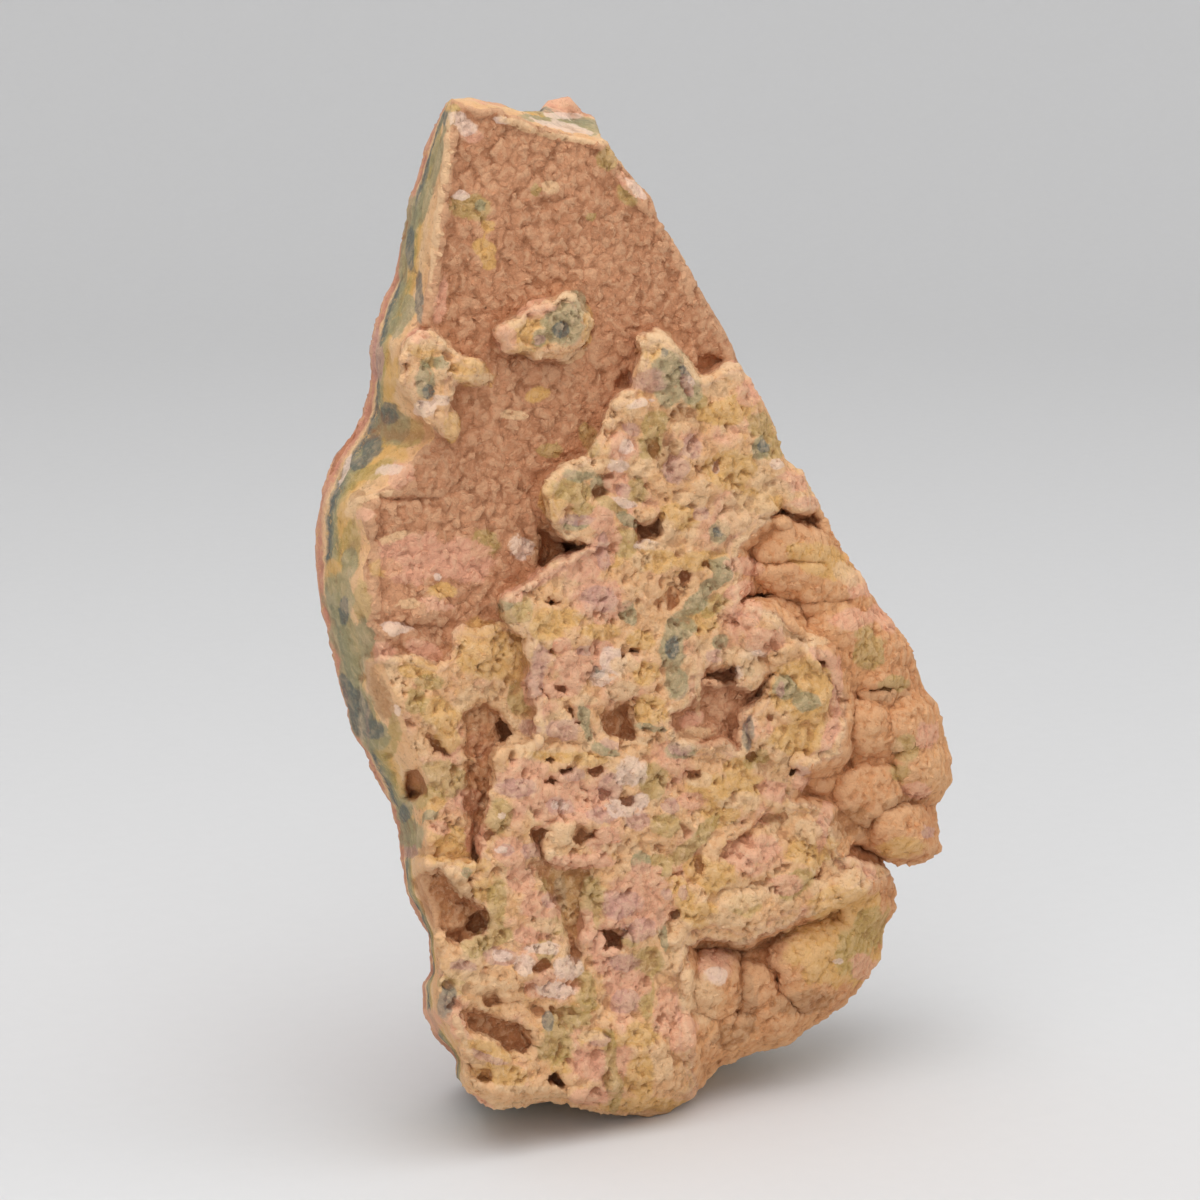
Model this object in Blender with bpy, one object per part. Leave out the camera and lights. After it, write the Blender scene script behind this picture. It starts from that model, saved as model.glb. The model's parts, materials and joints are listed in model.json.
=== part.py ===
"""Rhodochrosite crust: one natural slab of grown-together crystals that stands on its broken lower end.

The stone is in metres with +Z up. It stands at the origin, its druse face looks along -Y and its
lumpy skin along +Y. Outlines on the stone are read in picture pixels, u to the right and v down, and
each pixel is one sight line to the stone. Heights of the relief are millimetres towards the viewer.
"""

import math

import bpy
import numpy as np
from mathutils import noise

# Driving sizes of the stone, in metres
STONE_HEIGHT = 0.180
SLAB_THICKNESS = 0.017
MIDDLE_THICKNESS = 0.023
FOOT_THICKNESS = 0.038
MILLIMETRE = 0.001

# The sight lines: their common direction, the distance they are seen from, and the size of a pixel
SIGHT_AZIMUTH = math.radians(-30.0)
SIGHT_ELEVATION = math.radians(12.0)
SIGHT_DISTANCE = 0.72
PIXELS_IN_HEIGHT = 1056
PIXEL = STONE_HEIGHT / PIXELS_IN_HEIGHT
AIM_U, AIM_V = 600.0, 600.0
AIM_POINT = np.array((-0.0155, -0.0155, 0.0950))

# Sampling of the sheets, and the steps from sheets to the finished facets
SHEET_STEP = 3.0
OUTLINE_GROWTH = 1.5
THINNEST_RIM = 1.2 * MILLIMETRE
VOXEL = 0.8 * MILLIMETRE
TRIANGLE_BUDGET = 9600

# The stone's outline, anticlockwise: down its left edge, along the foot, up its right edge and the top
LEFT_EDGE = (
    (470, 101), (447, 103), (441, 118), (437, 128), (427, 150), (420, 180), (411, 200), (405, 235),
    (402, 250), (397, 280), (386, 300), (377, 328), (372, 352), (374, 375), (366, 412), (352, 437),
    (336, 458), (326, 485), (319, 530), (318, 560), (323, 605), (332, 640), (342, 685), (355, 730),
    (373, 770), (392, 806), (402, 832), (404, 862), (408, 893), (419, 912), (430, 935), (434, 972),
    (425, 984), (426, 1013), (437, 1035), (452, 1051), (458, 1062), (457, 1078),
)
FOOT_EDGE = (
    (470, 1090), (490, 1103), (503, 1106), (530, 1099), (560, 1099), (585, 1107), (610, 1110),
    (645, 1114), (665, 1110), (690, 1095), (703, 1076), (725, 1060), (750, 1050), (785, 1042),
    (815, 1020), (845, 1001), (858, 983),
)
RIGHT_EDGE = (
    (877, 957), (881, 928), (893, 908), (890, 899), (893, 890), (888, 873), (880, 862), (881, 855),
    (893, 861), (922, 860), (939, 850), (935, 832), (933, 805), (950, 780), (943, 742), (932, 703),
    (922, 693), (908, 650), (880, 612), (858, 574), (838, 553), (816, 506), (799, 475), (781, 460),
    (769, 417), (742, 375), (727, 340), (700, 298), (668, 240), (655, 220), (648, 197), (625, 176),
    (602, 141),
)
TOP_EDGE = (
    (590, 119), (580, 116), (573, 106), (568, 99), (549, 104), (543, 114), (520, 115), (500, 107),
)

# The ridge between the druse face and the broken left side, and the front rim of the broken top
LEFT_RIDGE = (
    (452, 103), (447, 130), (442, 185), (434, 228), (429, 285), (419, 320), (402, 345), (400, 380),
    (412, 400), (432, 425), (436, 437), (410, 462), (388, 485), (364, 500), (362, 515), (370, 545),
    (362, 575), (362, 600), (373, 630), (385, 668), (400, 710), (412, 745), (428, 775), (428, 850),
    (424, 880), (436, 930), (440, 975), (440, 1010), (462, 1050), (466, 1100),
)
TOP_RIM = ((440, 96), (470, 104), (500, 112), (540, 126), (575, 139), (600, 142), (612, 130))
TOP_SLOPE = 4.7
TOP_DEEPEST = 22.0
SIDE_BULGE = 2.0 * MILLIMETRE

# A knob of the skin on the top edge: centre and reach in pixels, and its thickness along the sight line
KNOB_U, KNOB_V, KNOB_REACH = 562.0, 106.0, 26.0
KNOB_THICKNESS = 5.0 * MILLIMETRE

# Broken layers that stand on the druse face: outline, height in millimetres and width of the edge
PLATEAU = (
    (960, 362), (735, 362), (727, 364), (708, 376), (698, 377), (686, 359), (678, 348), (658, 329),
    (637, 339), (640, 352), (632, 376), (631, 388), (622, 392), (606, 410), (598, 436), (590, 450),
    (562, 466), (553, 472), (543, 492), (548, 515), (558, 535), (580, 552), (553, 564), (528, 583),
    (502, 600), (501, 618), (524, 640), (527, 675), (535, 722), (536, 740), (494, 747), (492, 785),
    (485, 815), (478, 862), (430, 858), (380, 850), (380, 1130), (960, 1130),
)
LOWER_STRIP = (
    (360, 655), (410, 655), (440, 662), (452, 650), (451, 635), (460, 624), (478, 628), (500, 621),
    (535, 625), (545, 750), (500, 860), (440, 875), (380, 870), (360, 750),
)
LEFT_ISLAND = (
    (399, 356), (408, 340), (418, 330), (430, 329), (445, 342), (470, 358), (480, 360), (491, 380),
    (482, 386), (456, 383), (451, 400), (456, 420), (463, 439), (452, 440), (436, 432), (410, 405),
    (396, 385),
)
FREE_ISLAND = (
    (493, 331), (505, 323), (518, 316), (530, 301), (555, 301), (564, 292), (574, 294), (582, 306),
    (592, 325), (588, 342), (575, 352), (560, 361), (535, 357), (520, 352), (506, 356), (500, 346),
)
AGATE_KNOLL = (
    (770, 648), (800, 638), (814, 646), (822, 662), (834, 690), (832, 712), (812, 728), (806, 748),
    (775, 765), (752, 752), (745, 730), (757, 700), (768, 672),
)
LAYERS = (
    (LOWER_STRIP, 2.2, 5.0),
    (PLATEAU, 6.4, 3.0),
    (LEFT_ISLAND, 4.2, 4.0),
    (FREE_ISLAND, 5.2, 4.0),
)

# The lobed right flank stands back from the broken plateau: outline and depth
LOBED_FLANK = (
    (738, 544), (768, 520), (818, 505), (865, 560), (970, 700), (970, 870), (880, 866), (838, 852),
    (826, 810), (790, 800), (800, 770), (840, 752), (846, 700), (826, 655), (800, 632), (770, 612),
    (740, 606),
)
LOWER_FLANK = (
    (690, 944), (706, 936), (722, 939), (745, 941), (780, 926), (815, 912), (850, 896), (900, 870),
    (930, 1000), (800, 1100), (700, 1110), (690, 1050), (684, 990),
)
SALMON_HOLLOW = (
    (668, 712), (690, 706), (699, 684), (735, 682), (752, 692), (768, 680), (776, 690), (762, 702),
    (742, 712), (740, 730), (742, 752), (722, 742), (700, 748), (676, 742),
)

STEPS = (
    (LOBED_FLANK, -4.8, 12.0),
    (LOWER_FLANK, -5.6, 9.0),
    (SALMON_HOLLOW, -4.4, 6.0),
    (AGATE_KNOLL, 2.4, 6.0),
)

# Roughness of the broken layers, and how far outlines wander from their points, in pixels
TORN_RISE = 0.9
TORN_SIZE = 30.0
TORN_ABOVE = 3.0
WANDER = 3.2
WANDER_SIZE = 17.0
OTHER_NOISE = 500.0

# Domes of the botryoidal lobes: centre, radius in pixels and height in millimetres
LOBES = (
    (800, 556, 46, 5.0), (822, 588, 32, 4.0), (856, 592, 24, 3.2), (772, 628, 34, 4.2),
    (842, 640, 40, 5.0), (886, 642, 30, 3.6), (882, 682, 27, 3.8), (850, 668, 24, 3.6),
    (872, 726, 28, 4.4), (914, 722, 33, 4.8), (828, 742, 28, 3.6), (816, 768, 26, 3.6),
    (868, 792, 34, 4.2), (922, 768, 28, 4.4), (904, 836, 33, 4.8), (842, 828, 24, 2.0),
    (735, 868, 36, 2.4), (742, 906, 42, 3.0), (790, 884, 32, 2.0), (704, 902, 30, 2.0),
    (714, 984, 34, 4.4), (752, 986, 26, 3.6), (822, 966, 54, 5.4), (852, 906, 36, 3.4),
    (700, 1040, 28, 3.4), (782, 1018, 30, 3.4), (740, 1036, 26, 3.2), (722, 702, 26, 1.8),
    (702, 732, 26, 1.6), (753, 668, 21, 2.2), (760, 846, 26, 1.6), (812, 830, 16, 1.6),
)
SWELLS = (
    (662, 362, 34, 1.8), (541, 968, 38, 1.8), (580, 842, 44, 1.6), (612, 938, 40, 1.2),
    (640, 1050, 70, 2.4), (560, 640, 60, 1.0), (418, 836, 18, 1.8), (480, 655, 40, 1.2),
    (560, 108, 16, 1.4), (800, 690, 40, 1.2), (430, 608, 26, 1.6), (390, 630, 16, 1.6),
    (700, 470, 60, 0.8), (655, 720, 16, 1.0), (436, 722, 20, 1.0), (515, 545, 12, 1.0),
)

# Pockets with an outline of their own: outline, depth in millimetres and width of the edge, of which
# a share laps over the outline
POCKET_LAP = 0.4
POCKETS = (
    (((556, 541), (586, 542), (585, 551), (562, 557), (548, 572), (537, 566), (538, 526), (548, 530)),
     4.0, 5.0),
    (((560, 542), (586, 542), (585, 551), (562, 557)), 7.0, 3.0),
    (((632, 519), (650, 520), (660, 512), (664, 526), (658, 539), (636, 541)), 6.0, 3.5),
    (((770, 517), (778, 505), (792, 509), (803, 512), (814, 509), (826, 536), (815, 533), (786, 520)),
     8.5, 4.0),
    (((737, 600), (745, 594), (757, 590), (774, 593), (765, 601), (750, 603), (740, 606)), 5.0, 3.5),
    (((700, 681), (707, 670), (720, 668), (733, 662), (736, 684)), 7.5, 3.5),
    (((748, 690), (757, 684), (768, 672), (776, 668), (774, 680), (760, 692), (757, 702)), 3.5, 3.0),
    (((598, 716), (606, 704), (628, 704), (634, 722), (638, 738), (620, 740), (604, 738)), 4.5, 6.0),
    (((460, 712), (485, 700), (502, 712), (515, 733), (505, 745), (480, 760), (462, 755)), 3.6, 5.0),
    (((497, 718), (506, 720), (514, 732), (506, 744), (496, 742)), 3.4, 4.0),
    (((423, 735), (430, 733), (440, 742), (453, 756), (445, 759), (430, 748)), 2.6, 3.5),
    (((464, 764), (480, 756), (493, 750), (491, 800), (484, 815), (478, 868), (466, 858), (463, 800)),
     3.2, 4.5),
    (((411, 882), (425, 868), (438, 866), (462, 894), (486, 912), (488, 928), (468, 941), (459, 950),
      (432, 926)), 5.0, 5.0),
    (((466, 916), (478, 910), (487, 920), (480, 934), (468, 930)), 3.0, 5.0),
    (((461, 1010), (470, 1003), (484, 1012), (520, 1023), (537, 1045), (528, 1056), (500, 1047),
      (468, 1032)), 4.2, 5.0),
    (((526, 862), (545, 858), (560, 866), (592, 862), (585, 890), (580, 950), (572, 975), (560, 920),
      (545, 885)), 2.4, 6.0),
    (((596, 930), (612, 924), (624, 936), (620, 950), (604, 950)), 6.5, 5.0),
    (((570, 838), (578, 826), (596, 825), (598, 838), (580, 846)), 4.0, 4.0),
    (((528, 828), (543, 826), (545, 838), (545, 860), (539, 860), (534, 840)), 4.0, 3.5),
    (((532, 965), (545, 961), (551, 970), (540, 976), (532, 974)), 3.0, 3.0),
    (((405, 770), (420, 766), (427, 780), (426, 796), (410, 800), (404, 788)), 5.0, 4.0),
    (((545, 1080), (556, 1069), (567, 1084), (556, 1088)), 6.0, 4.0),
    (((683, 771), (700, 768), (702, 776), (688, 781)), 4.0, 3.0),
    (((786, 764), (798, 763), (802, 771), (790, 777)), 4.5, 3.0),
    (((843, 856), (850, 844), (862, 843), (884, 856), (880, 868), (862, 862)), 6.0, 4.0),
    (((656, 614), (654, 602), (666, 592), (674, 586), (672, 594), (662, 606)), 3.2, 2.5),
    (((617, 655), (628, 650), (641, 649), (640, 656), (625, 659)), 3.6, 3.0),
    (((692, 367), (698, 355), (716, 352), (726, 360), (712, 371), (700, 377)), 2.4, 5.0),
    (((611, 390), (618, 374), (630, 364), (632, 376), (630, 389), (622, 392)), 1.8, 4.0),
    (((458, 1062), (468, 1060), (494, 1072), (496, 1084), (470, 1080)), 2.0, 4.0),
)

# Ledges: the lip from left to right, the depth below it in millimetres and how far down that fades out
LEDGE_EDGE = 3.0
LEDGE_END = 4.0
LEDGES = (
    (((720, 847), (735, 838), (748, 830), (755, 817), (784, 813)), 4.0, 36.0),
    (((688, 946), (706, 936), (722, 939), (745, 941), (780, 926), (815, 913), (842, 904)), 5.0, 42.0),
    (((714, 894), (735, 886), (772, 877)), 2.2, 18.0),
    (((770, 519), (778, 506), (814, 510)), 2.0, 28.0),
    (((496, 354), (520, 354), (548, 362), (566, 360)), 1.2, 12.0),
    (((372, 616), (400, 621), (456, 622)), 1.6, 14.0),
)

# Narrow creases and cracks: path, width in pixels and depth in millimetres
CREASES = (
    (((740, 545), (760, 562), (790, 562), (822, 562)), 5.0, 1.4),
    (((774, 598), (800, 602), (850, 600)), 5.0, 1.2),
    (((775, 605), (785, 625), (800, 635), (812, 655)), 5.0, 1.6),
    (((836, 700), (853, 700), (853, 740), (850, 766)), 5.0, 1.6),
    (((800, 777), (830, 778), (850, 767), (872, 762), (896, 766)), 5.0, 1.6),
    (((862, 690), (890, 688), (914, 690)), 5.0, 1.4),
    (((870, 822), (882, 809), (914, 804)), 5.0, 1.6),
    (((740, 950), (742, 1000), (730, 1030)), 6.0, 1.6),
    (((768, 965), (782, 992), (800, 1012)), 6.0, 1.6),
    (((545, 742), (580, 744), (597, 757), (625, 757)), 4.0, 1.0),
    (((597, 1008), (607, 1005), (635, 1018)), 3.5, 1.0),
    (((366, 496), (400, 499), (440, 498)), 5.0, 1.2),
)

# Rims that stand proud: path, width in pixels and height in millimetres
RIMS = (
    (((587, 552), (560, 561), (528, 584), (505, 600)), 9.0, 1.2),
    (((454, 110), (446, 185), (434, 285), (426, 322)), 8.0, 1.0),
    (((372, 520), (376, 560), (372, 600), (384, 655)), 8.0, 1.0),
    (((470, 106), (540, 129), (598, 144)), 7.0, 0.9),
    (((600, 146), (626, 184), (650, 214)), 7.0, 0.9),
    (((668, 940), (690, 925), (684, 950), (672, 972)), 9.0, 1.2),
    (((462, 1000), (458, 1030), (490, 1052)), 8.0, 1.0),
)

# Fading of the relief towards the outline
EDGE_FADE = 12.0
EDGE_RELIEF = 0.35

# The hidden back: its depth behind the druse face at each height, thinner at the left
BACK_PROFILE = (
    (0.000, FOOT_THICKNESS), (0.012, FOOT_THICKNESS), (0.045, 0.032), (0.100, MIDDLE_THICKNESS),
    (STONE_HEIGHT, SLAB_THICKNESS),
)
LEFT_THIN_X = -0.058
LEFT_THIN_WIDTH = 0.045
BACK_STEPS = 6

# The hidden sides: metres back for each metre across, and the rounding of the edges in pixels
SIDE_SLOPE = ((90, 8.0), (180, 6.0), (400, 2.4), (930, 1.9))
FOOT_SLOPE = ((460, 9.0), (570, 9.0), (610, 6.0), (690, 5.6), (760, 3.4), (860, 2.6))
SIDE_RADIUS = ((90, 6.0), (480, 8.0), (540, 26.0), (700, 44.0), (860, 40.0), (960, 60.0))
FOOT_RADIUS = ((460, 12.0), (560, 14.0), (640, 30.0), (700, 50.0), (860, 60.0))
FOOT_TOP, FOOT_TURN = 930.0, 90.0
EDGE_FALL = 0.62

# The skin of the hidden back: wide swells, lumps that meet in creases, and a fine grain
BACK_SWELL = 3.2 * MILLIMETRE
BACK_SWELL_SIZE = 0.048
SKIN_LUMP = 0.0150
SKIN_LUMP_RISE = 3.2 * MILLIMETRE
SMALL_LUMP = 0.0062
SMALL_LUMP_RISE = 0.9 * MILLIMETRE
LUMP_REACH = 0.74
LUMP_MIDDLE = 0.6
TURNED_AWAY = -0.2
TURN_GAIN = 1.6
GRAIN_RISE = 0.3 * MILLIMETRE
GRAIN_SIZE = 0.006

# The flat that the stone stands on
BASE_SINK = 0.8 * MILLIMETRE
BASE_CLEAR = 0.004
BASE_BLEND = 0.010
CUTTER_SIZE = 0.4

# Finish of the stone
STONE_COLOUR = (0.56, 0.31, 0.19)
STONE_ROUGHNESS = 0.85


def sight_axes():
    """Unit vectors of a sight line: to the viewer, to the right and up."""
    back = np.array((
        math.sin(SIGHT_AZIMUTH) * math.cos(SIGHT_ELEVATION),
        -math.cos(SIGHT_AZIMUTH) * math.cos(SIGHT_ELEVATION),
        math.sin(SIGHT_ELEVATION),
    ))
    right = np.array((math.cos(SIGHT_AZIMUTH), math.sin(SIGHT_AZIMUTH), 0.0))
    return back, right, np.cross(back, right)


BACK, RIGHT, UP = sight_axes()


def place(u, v, near):
    """Point of the sight line of a pixel, near metres in front of the aim point."""
    scale = PIXEL * (1.0 - near / SIGHT_DISTANCE)
    across = ((u - AIM_U) * scale)[:, None] * RIGHT
    upward = ((AIM_V - v) * scale)[:, None] * UP
    return AIM_POINT + across + upward + near[:, None] * BACK


def near_of_plane(u, v, axis, position):
    """How near the sight line of a pixel crosses the plane axis = position."""
    sideways = (u - AIM_U) * PIXEL * RIGHT[axis] + (AIM_V - v) * PIXEL * UP[axis]
    return (position - AIM_POINT[axis] - sideways) / (BACK[axis] - sideways / SIGHT_DISTANCE)


def smooth(x):
    """Smooth step from 0 to 1."""
    x = np.clip(x, 0.0, 1.0)
    return x * x * (3.0 - 2.0 * x)


def along(points, v):
    """The path's u at each v, for a path that runs down."""
    path = sorted(points, key=lambda point: point[1])
    return np.interp(v, [point[1] for point in path], [point[0] for point in path])


def table(x, pairs):
    """Value at x of a table of pairs, in a straight line between them."""
    return np.interp(x, [pair[0] for pair in pairs], [pair[1] for pair in pairs])


def path_distance(u, v, points):
    """Distance in pixels to a path."""
    nearest = np.full(u.shape, np.inf)
    for (u0, v0), (u1, v1) in zip(points[:-1], points[1:]):
        du, dv = u1 - u0, v1 - v0
        t = np.clip(((u - u0) * du + (v - v0) * dv) / (du * du + dv * dv), 0.0, 1.0)
        nearest = np.minimum(nearest, np.hypot(u - u0 - t * du, v - v0 - t * dv))
    return nearest


def outline_distance(u, v, outline):
    """Distance in pixels to a closed outline, positive inside."""
    inside = np.zeros(u.shape, bool)
    for (u0, v0), (u1, v1) in zip(outline, outline[1:] + outline[:1]):
        if v0 == v1:
            continue
        crosses = (v0 > v) != (v1 > v)
        inside ^= crosses & (u < u0 + (v - v0) * (u1 - u0) / (v1 - v0))
    distance = path_distance(u, v, outline + outline[:1])
    return np.where(inside, distance, -distance)


def fractal(points, size, octaves):
    """Fractal noise of about -1 to 1 at each point."""
    scaled = (points / size).tolist()
    return np.array([noise.fractal(point, 1.0, 2.0, octaves) for point in scaled])


def wandering(u, v):
    """The pixels pushed about by noise, so that outlines break as stone does."""
    flat = np.column_stack((u, v, np.zeros(len(u))))
    du = WANDER * fractal(flat, WANDER_SIZE, 3)
    dv = WANDER * fractal(flat + OTHER_NOISE, WANDER_SIZE, 3)
    return u + du, v + dv


def layered_relief(u, v):
    """Heights of the broken layers and the flanks over the druse face."""
    height = np.zeros(u.shape)
    for outline, level, edge in LAYERS:
        cover = smooth(outline_distance(u, v, outline) / edge)
        height += cover * (level - height)
    for outline, step, edge in STEPS:
        height += step * smooth(outline_distance(u, v, outline) / edge)
    flat = np.column_stack((u, v, np.zeros(len(u))))
    return height + TORN_RISE * smooth(height / TORN_ABOVE) * fractal(flat, TORN_SIZE, 3)


def rounded_relief(u, v):
    """Heights added by domes, which meet in creases, and by wide swells."""
    height = np.zeros(u.shape)
    for centre_u, centre_v, radius, rise in LOBES:
        distance = np.hypot(u - centre_u, v - centre_v) / radius
        height = np.maximum(height, rise * np.sqrt(np.clip(1.0 - distance ** 2, 0.0, 1.0)))
    for centre_u, centre_v, radius, rise in SWELLS:
        height += rise * smooth(1.0 - np.hypot(u - centre_u, v - centre_v) / radius)
    return height


def carved_relief(u, v):
    """Heights taken away by pockets, ledges and creases, and added by rims."""
    height = np.zeros(u.shape)
    for outline, depth, edge in POCKETS:
        height -= depth * smooth(POCKET_LAP + outline_distance(u, v, outline) / edge)
    for lip, depth, reach in LEDGES:
        below = v - table(u, lip)
        inward = np.minimum(u - lip[0][0], lip[-1][0] - u)
        ends = smooth(0.5 + inward / (2.0 * LEDGE_END))
        fade = np.clip(1.0 - below / reach, 0.0, 1.0) ** 2
        height -= depth * ends * smooth(0.5 + below / LEDGE_EDGE) * fade
    for path, width, depth in CREASES:
        height -= depth * smooth(1.0 - path_distance(u, v, path) / width)
    for path, width, rise in RIMS:
        height += rise * smooth(1.0 - path_distance(u, v, path) / width)
    return height


def back_depth(points):
    """The y of the skin behind the points: a thin slab above and a thick foot, thinner at its left."""
    left = smooth((points[:, 0] - LEFT_THIN_X) / LEFT_THIN_WIDTH)
    thickness = SLAB_THICKNESS + (table(points[:, 2], BACK_PROFILE) - SLAB_THICKNESS) * left
    flat = points * np.array((1.0, 0.0, 1.0))
    return AIM_POINT[1] + thickness + BACK_SWELL * fractal(flat, BACK_SWELL_SIZE, 2)


def hidden_near(u, v):
    """How near the sight lines leave the stone through its back or its base."""
    near = near_of_plane(u, v, 1, AIM_POINT[1] + MIDDLE_THICKNESS)
    for _ in range(BACK_STEPS):
        near = near_of_plane(u, v, 1, back_depth(place(u, v, near)))
    return np.maximum(near, near_of_plane(u, v, 2, -BASE_SINK))


def stone_outline():
    """The whole outline, anticlockwise from the top."""
    return LEFT_EDGE + FOOT_EDGE + RIGHT_EDGE + TOP_EDGE


def visible_near(u, v, edge_distance):
    """How near the sight lines meet the stone: druse face, broken side and top, and their relief."""
    front = near_of_plane(u, v, 1, AIM_POINT[1])
    ridge_u = along(LEFT_RIDGE, v)
    left_u = along(LEFT_EDGE + FOOT_EDGE[:1], v)
    at_ridge = near_of_plane(ridge_u, v, 1, AIM_POINT[1])
    at_edge = hidden_near(left_u, v)
    share = np.clip((u - left_u) / np.maximum(ridge_u - left_u, 1.0), 0.0, 1.0)
    side = at_edge + (at_ridge - at_edge) * share + SIDE_BULGE * np.sin(math.pi * share)
    near = np.where(u < ridge_u, np.minimum(front, side), front)
    near -= TOP_SLOPE * PIXEL * np.clip(table(u, TOP_RIM) - v, 0.0, TOP_DEEPEST)
    torn_u, torn_v = wandering(u, v)
    relief = layered_relief(torn_u, torn_v) + rounded_relief(u, v) + carved_relief(torn_u, torn_v)
    fade = EDGE_RELIEF + (1.0 - EDGE_RELIEF) * smooth(edge_distance / EDGE_FADE)
    radius = by_edge(u, v, SIDE_RADIUS, FOOT_RADIUS)
    inset = np.clip(1.0 - right_distance(u, v) / radius, 0.0, 1.0)
    return near + MILLIMETRE * relief * fade - EDGE_FALL * radius * PIXEL * inset ** 2


def right_distance(u, v):
    """Distance in pixels to the foot and the right edge, where the hidden side begins."""
    return path_distance(u, v, FOOT_EDGE + RIGHT_EDGE)


def by_edge(u, v, side_values, foot_values):
    """A value that is given down the right edge by v, and along the foot by u."""
    side = table(v, side_values)
    return side + (table(u, foot_values) - side) * smooth((v - FOOT_TOP) / FOOT_TURN)


def hidden_side_near(u, v):
    """How near the sight lines leave through the hidden right side, which runs back from the outline."""
    slope = by_edge(u, v, SIDE_SLOPE, FOOT_SLOPE)
    fall = EDGE_FALL * by_edge(u, v, SIDE_RADIUS, FOOT_RADIUS) * PIXEL
    return near_of_plane(u, v, 1, AIM_POINT[1]) - fall - slope * right_distance(u, v) * PIXEL


def outline_grid():
    """Grid of pixels over the stone, its outermost ones pulled in to the outline, and their inset."""
    outline = stone_outline()
    low_u, low_v = np.min(outline, axis=0) - SHEET_STEP
    high_u, high_v = np.max(outline, axis=0) + SHEET_STEP
    us = np.arange(low_u, high_u + SHEET_STEP, SHEET_STEP)
    vs = np.arange(low_v, high_v + SHEET_STEP, SHEET_STEP)
    u, v = np.meshgrid(us, vs)
    inset = outline_distance(u.ravel(), v.ravel(), outline).reshape(u.shape) + OUTLINE_GROWTH
    inward_v, inward_u = np.gradient(inset, SHEET_STEP)
    outside = np.clip(-inset, 0.0, None)
    return u + outside * inward_u, v + outside * inward_v, inset


def sheet_mesh():
    """A closed mesh from the visible and the hidden sheet, joined by a wall along the outline."""
    grid_u, grid_v, inset = outline_grid()
    kept = inset > -SHEET_STEP
    u, v = grid_u[kept], grid_v[kept]
    front = visible_near(u, v, np.clip(inset[kept], 0.0, None))
    knob = smooth(1.0 - np.hypot(u - KNOB_U, v - KNOB_V) / KNOB_REACH)
    rim = THINNEST_RIM + KNOB_THICKNESS * knob
    hidden = np.maximum(hidden_near(u, v), hidden_side_near(u, v))
    hidden = np.minimum(hidden, front - rim)
    points = np.vstack((place(u, v, front), place(u, v, hidden)))
    number = np.full(grid_u.shape, -1)
    number[kept] = np.arange(len(u))
    mesh = bpy.data.meshes.new("stone_sheets")
    mesh.from_pydata(points.tolist(), [], sheet_faces(number, len(u)))
    return mesh


def sheet_faces(number, count):
    """Faces of the two sheets and of the wall between their edges; number is -1 off the stone."""
    a, b = number[:-1, :-1], number[:-1, 1:]
    c, d = number[1:, 1:], number[1:, :-1]
    cells = (a >= 0) & (b >= 0) & (c >= 0) & (d >= 0)
    front = np.column_stack((a[cells], d[cells], c[cells], b[cells]))
    faces = front.tolist() + (front[:, ::-1] + count).tolist()
    sides = {}
    for face in front.tolist():
        for start, end in zip(face, face[1:] + face[:1]):
            if (end, start) in sides:
                del sides[(end, start)]
            else:
                sides[(start, end)] = True
    for start, end in sides:
        faces.append((end, start, start + count, end + count))
    return faces


def applied(stone):
    """Replace the object's mesh by the mesh that its modifiers make, and drop them."""
    bpy.context.view_layer.update()
    graph = bpy.context.evaluated_depsgraph_get()
    mesh = bpy.data.meshes.new_from_object(stone.evaluated_get(graph))
    stone.modifiers.clear()
    stone.data = mesh


def remesh(stone, size):
    """One even closed skin around everything that the mesh encloses."""
    modifier = stone.modifiers.new("even_skin", "REMESH")
    modifier.mode = "VOXEL"
    modifier.voxel_size = size
    modifier.use_smooth_shade = True
    applied(stone)


def lump_height(points, size):
    """Rounded lumps that meet in creases, 0 to 1."""
    scaled = (points / size).tolist()
    nearest = np.array([noise.voronoi(point)[0][0] for point in scaled])
    return np.sqrt(np.clip(1.0 - (nearest / LUMP_REACH) ** 2, 0.0, 1.0))


def swell_skin(stone):
    """Push the even skin out: lumps on the hidden back, a little grain everywhere."""
    mesh = stone.data
    points = np.empty(len(mesh.vertices) * 3)
    normals = np.empty(len(mesh.vertices) * 3)
    mesh.vertices.foreach_get("co", points)
    mesh.vertex_normals.foreach_get("vector", normals)
    points = points.reshape(-1, 3)
    normals = normals.reshape(-1, 3)
    hidden = smooth(TURNED_AWAY - TURN_GAIN * (normals @ BACK))
    hidden *= smooth((points[:, 2] - BASE_CLEAR) / BASE_BLEND)
    lumps = SKIN_LUMP_RISE * (lump_height(points, SKIN_LUMP) - LUMP_MIDDLE)
    lumps += SMALL_LUMP_RISE * (lump_height(points, SMALL_LUMP) - LUMP_MIDDLE)
    push = hidden * lumps + GRAIN_RISE * fractal(points, GRAIN_SIZE, 3)
    points += push[:, None] * normals
    mesh.vertices.foreach_set("co", points.ravel())
    mesh.update()


def flat_base(stone):
    """Cut the sunk underside off at the ground, which leaves the flat that the stone stands on."""
    bpy.ops.mesh.primitive_cube_add(size=CUTTER_SIZE, location=(0.0, 0.0, -CUTTER_SIZE / 2.0))
    cutter = bpy.context.object
    cutter.name = "ground_cutter"
    cutter.hide_render = True
    cutter.display_type = "WIRE"
    modifier = stone.modifiers.new("flat_base", "BOOLEAN")
    modifier.operation = "DIFFERENCE"
    modifier.solver = "EXACT"
    modifier.object = cutter


def facet(stone):
    """Thin the even skin to the triangle budget."""
    triangles = 2 * len(stone.data.polygons)
    modifier = stone.modifiers.new("facets", "DECIMATE")
    modifier.ratio = TRIANGLE_BUDGET / triangles
    modifier.use_collapse_triangulate = True
    applied(stone)


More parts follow.
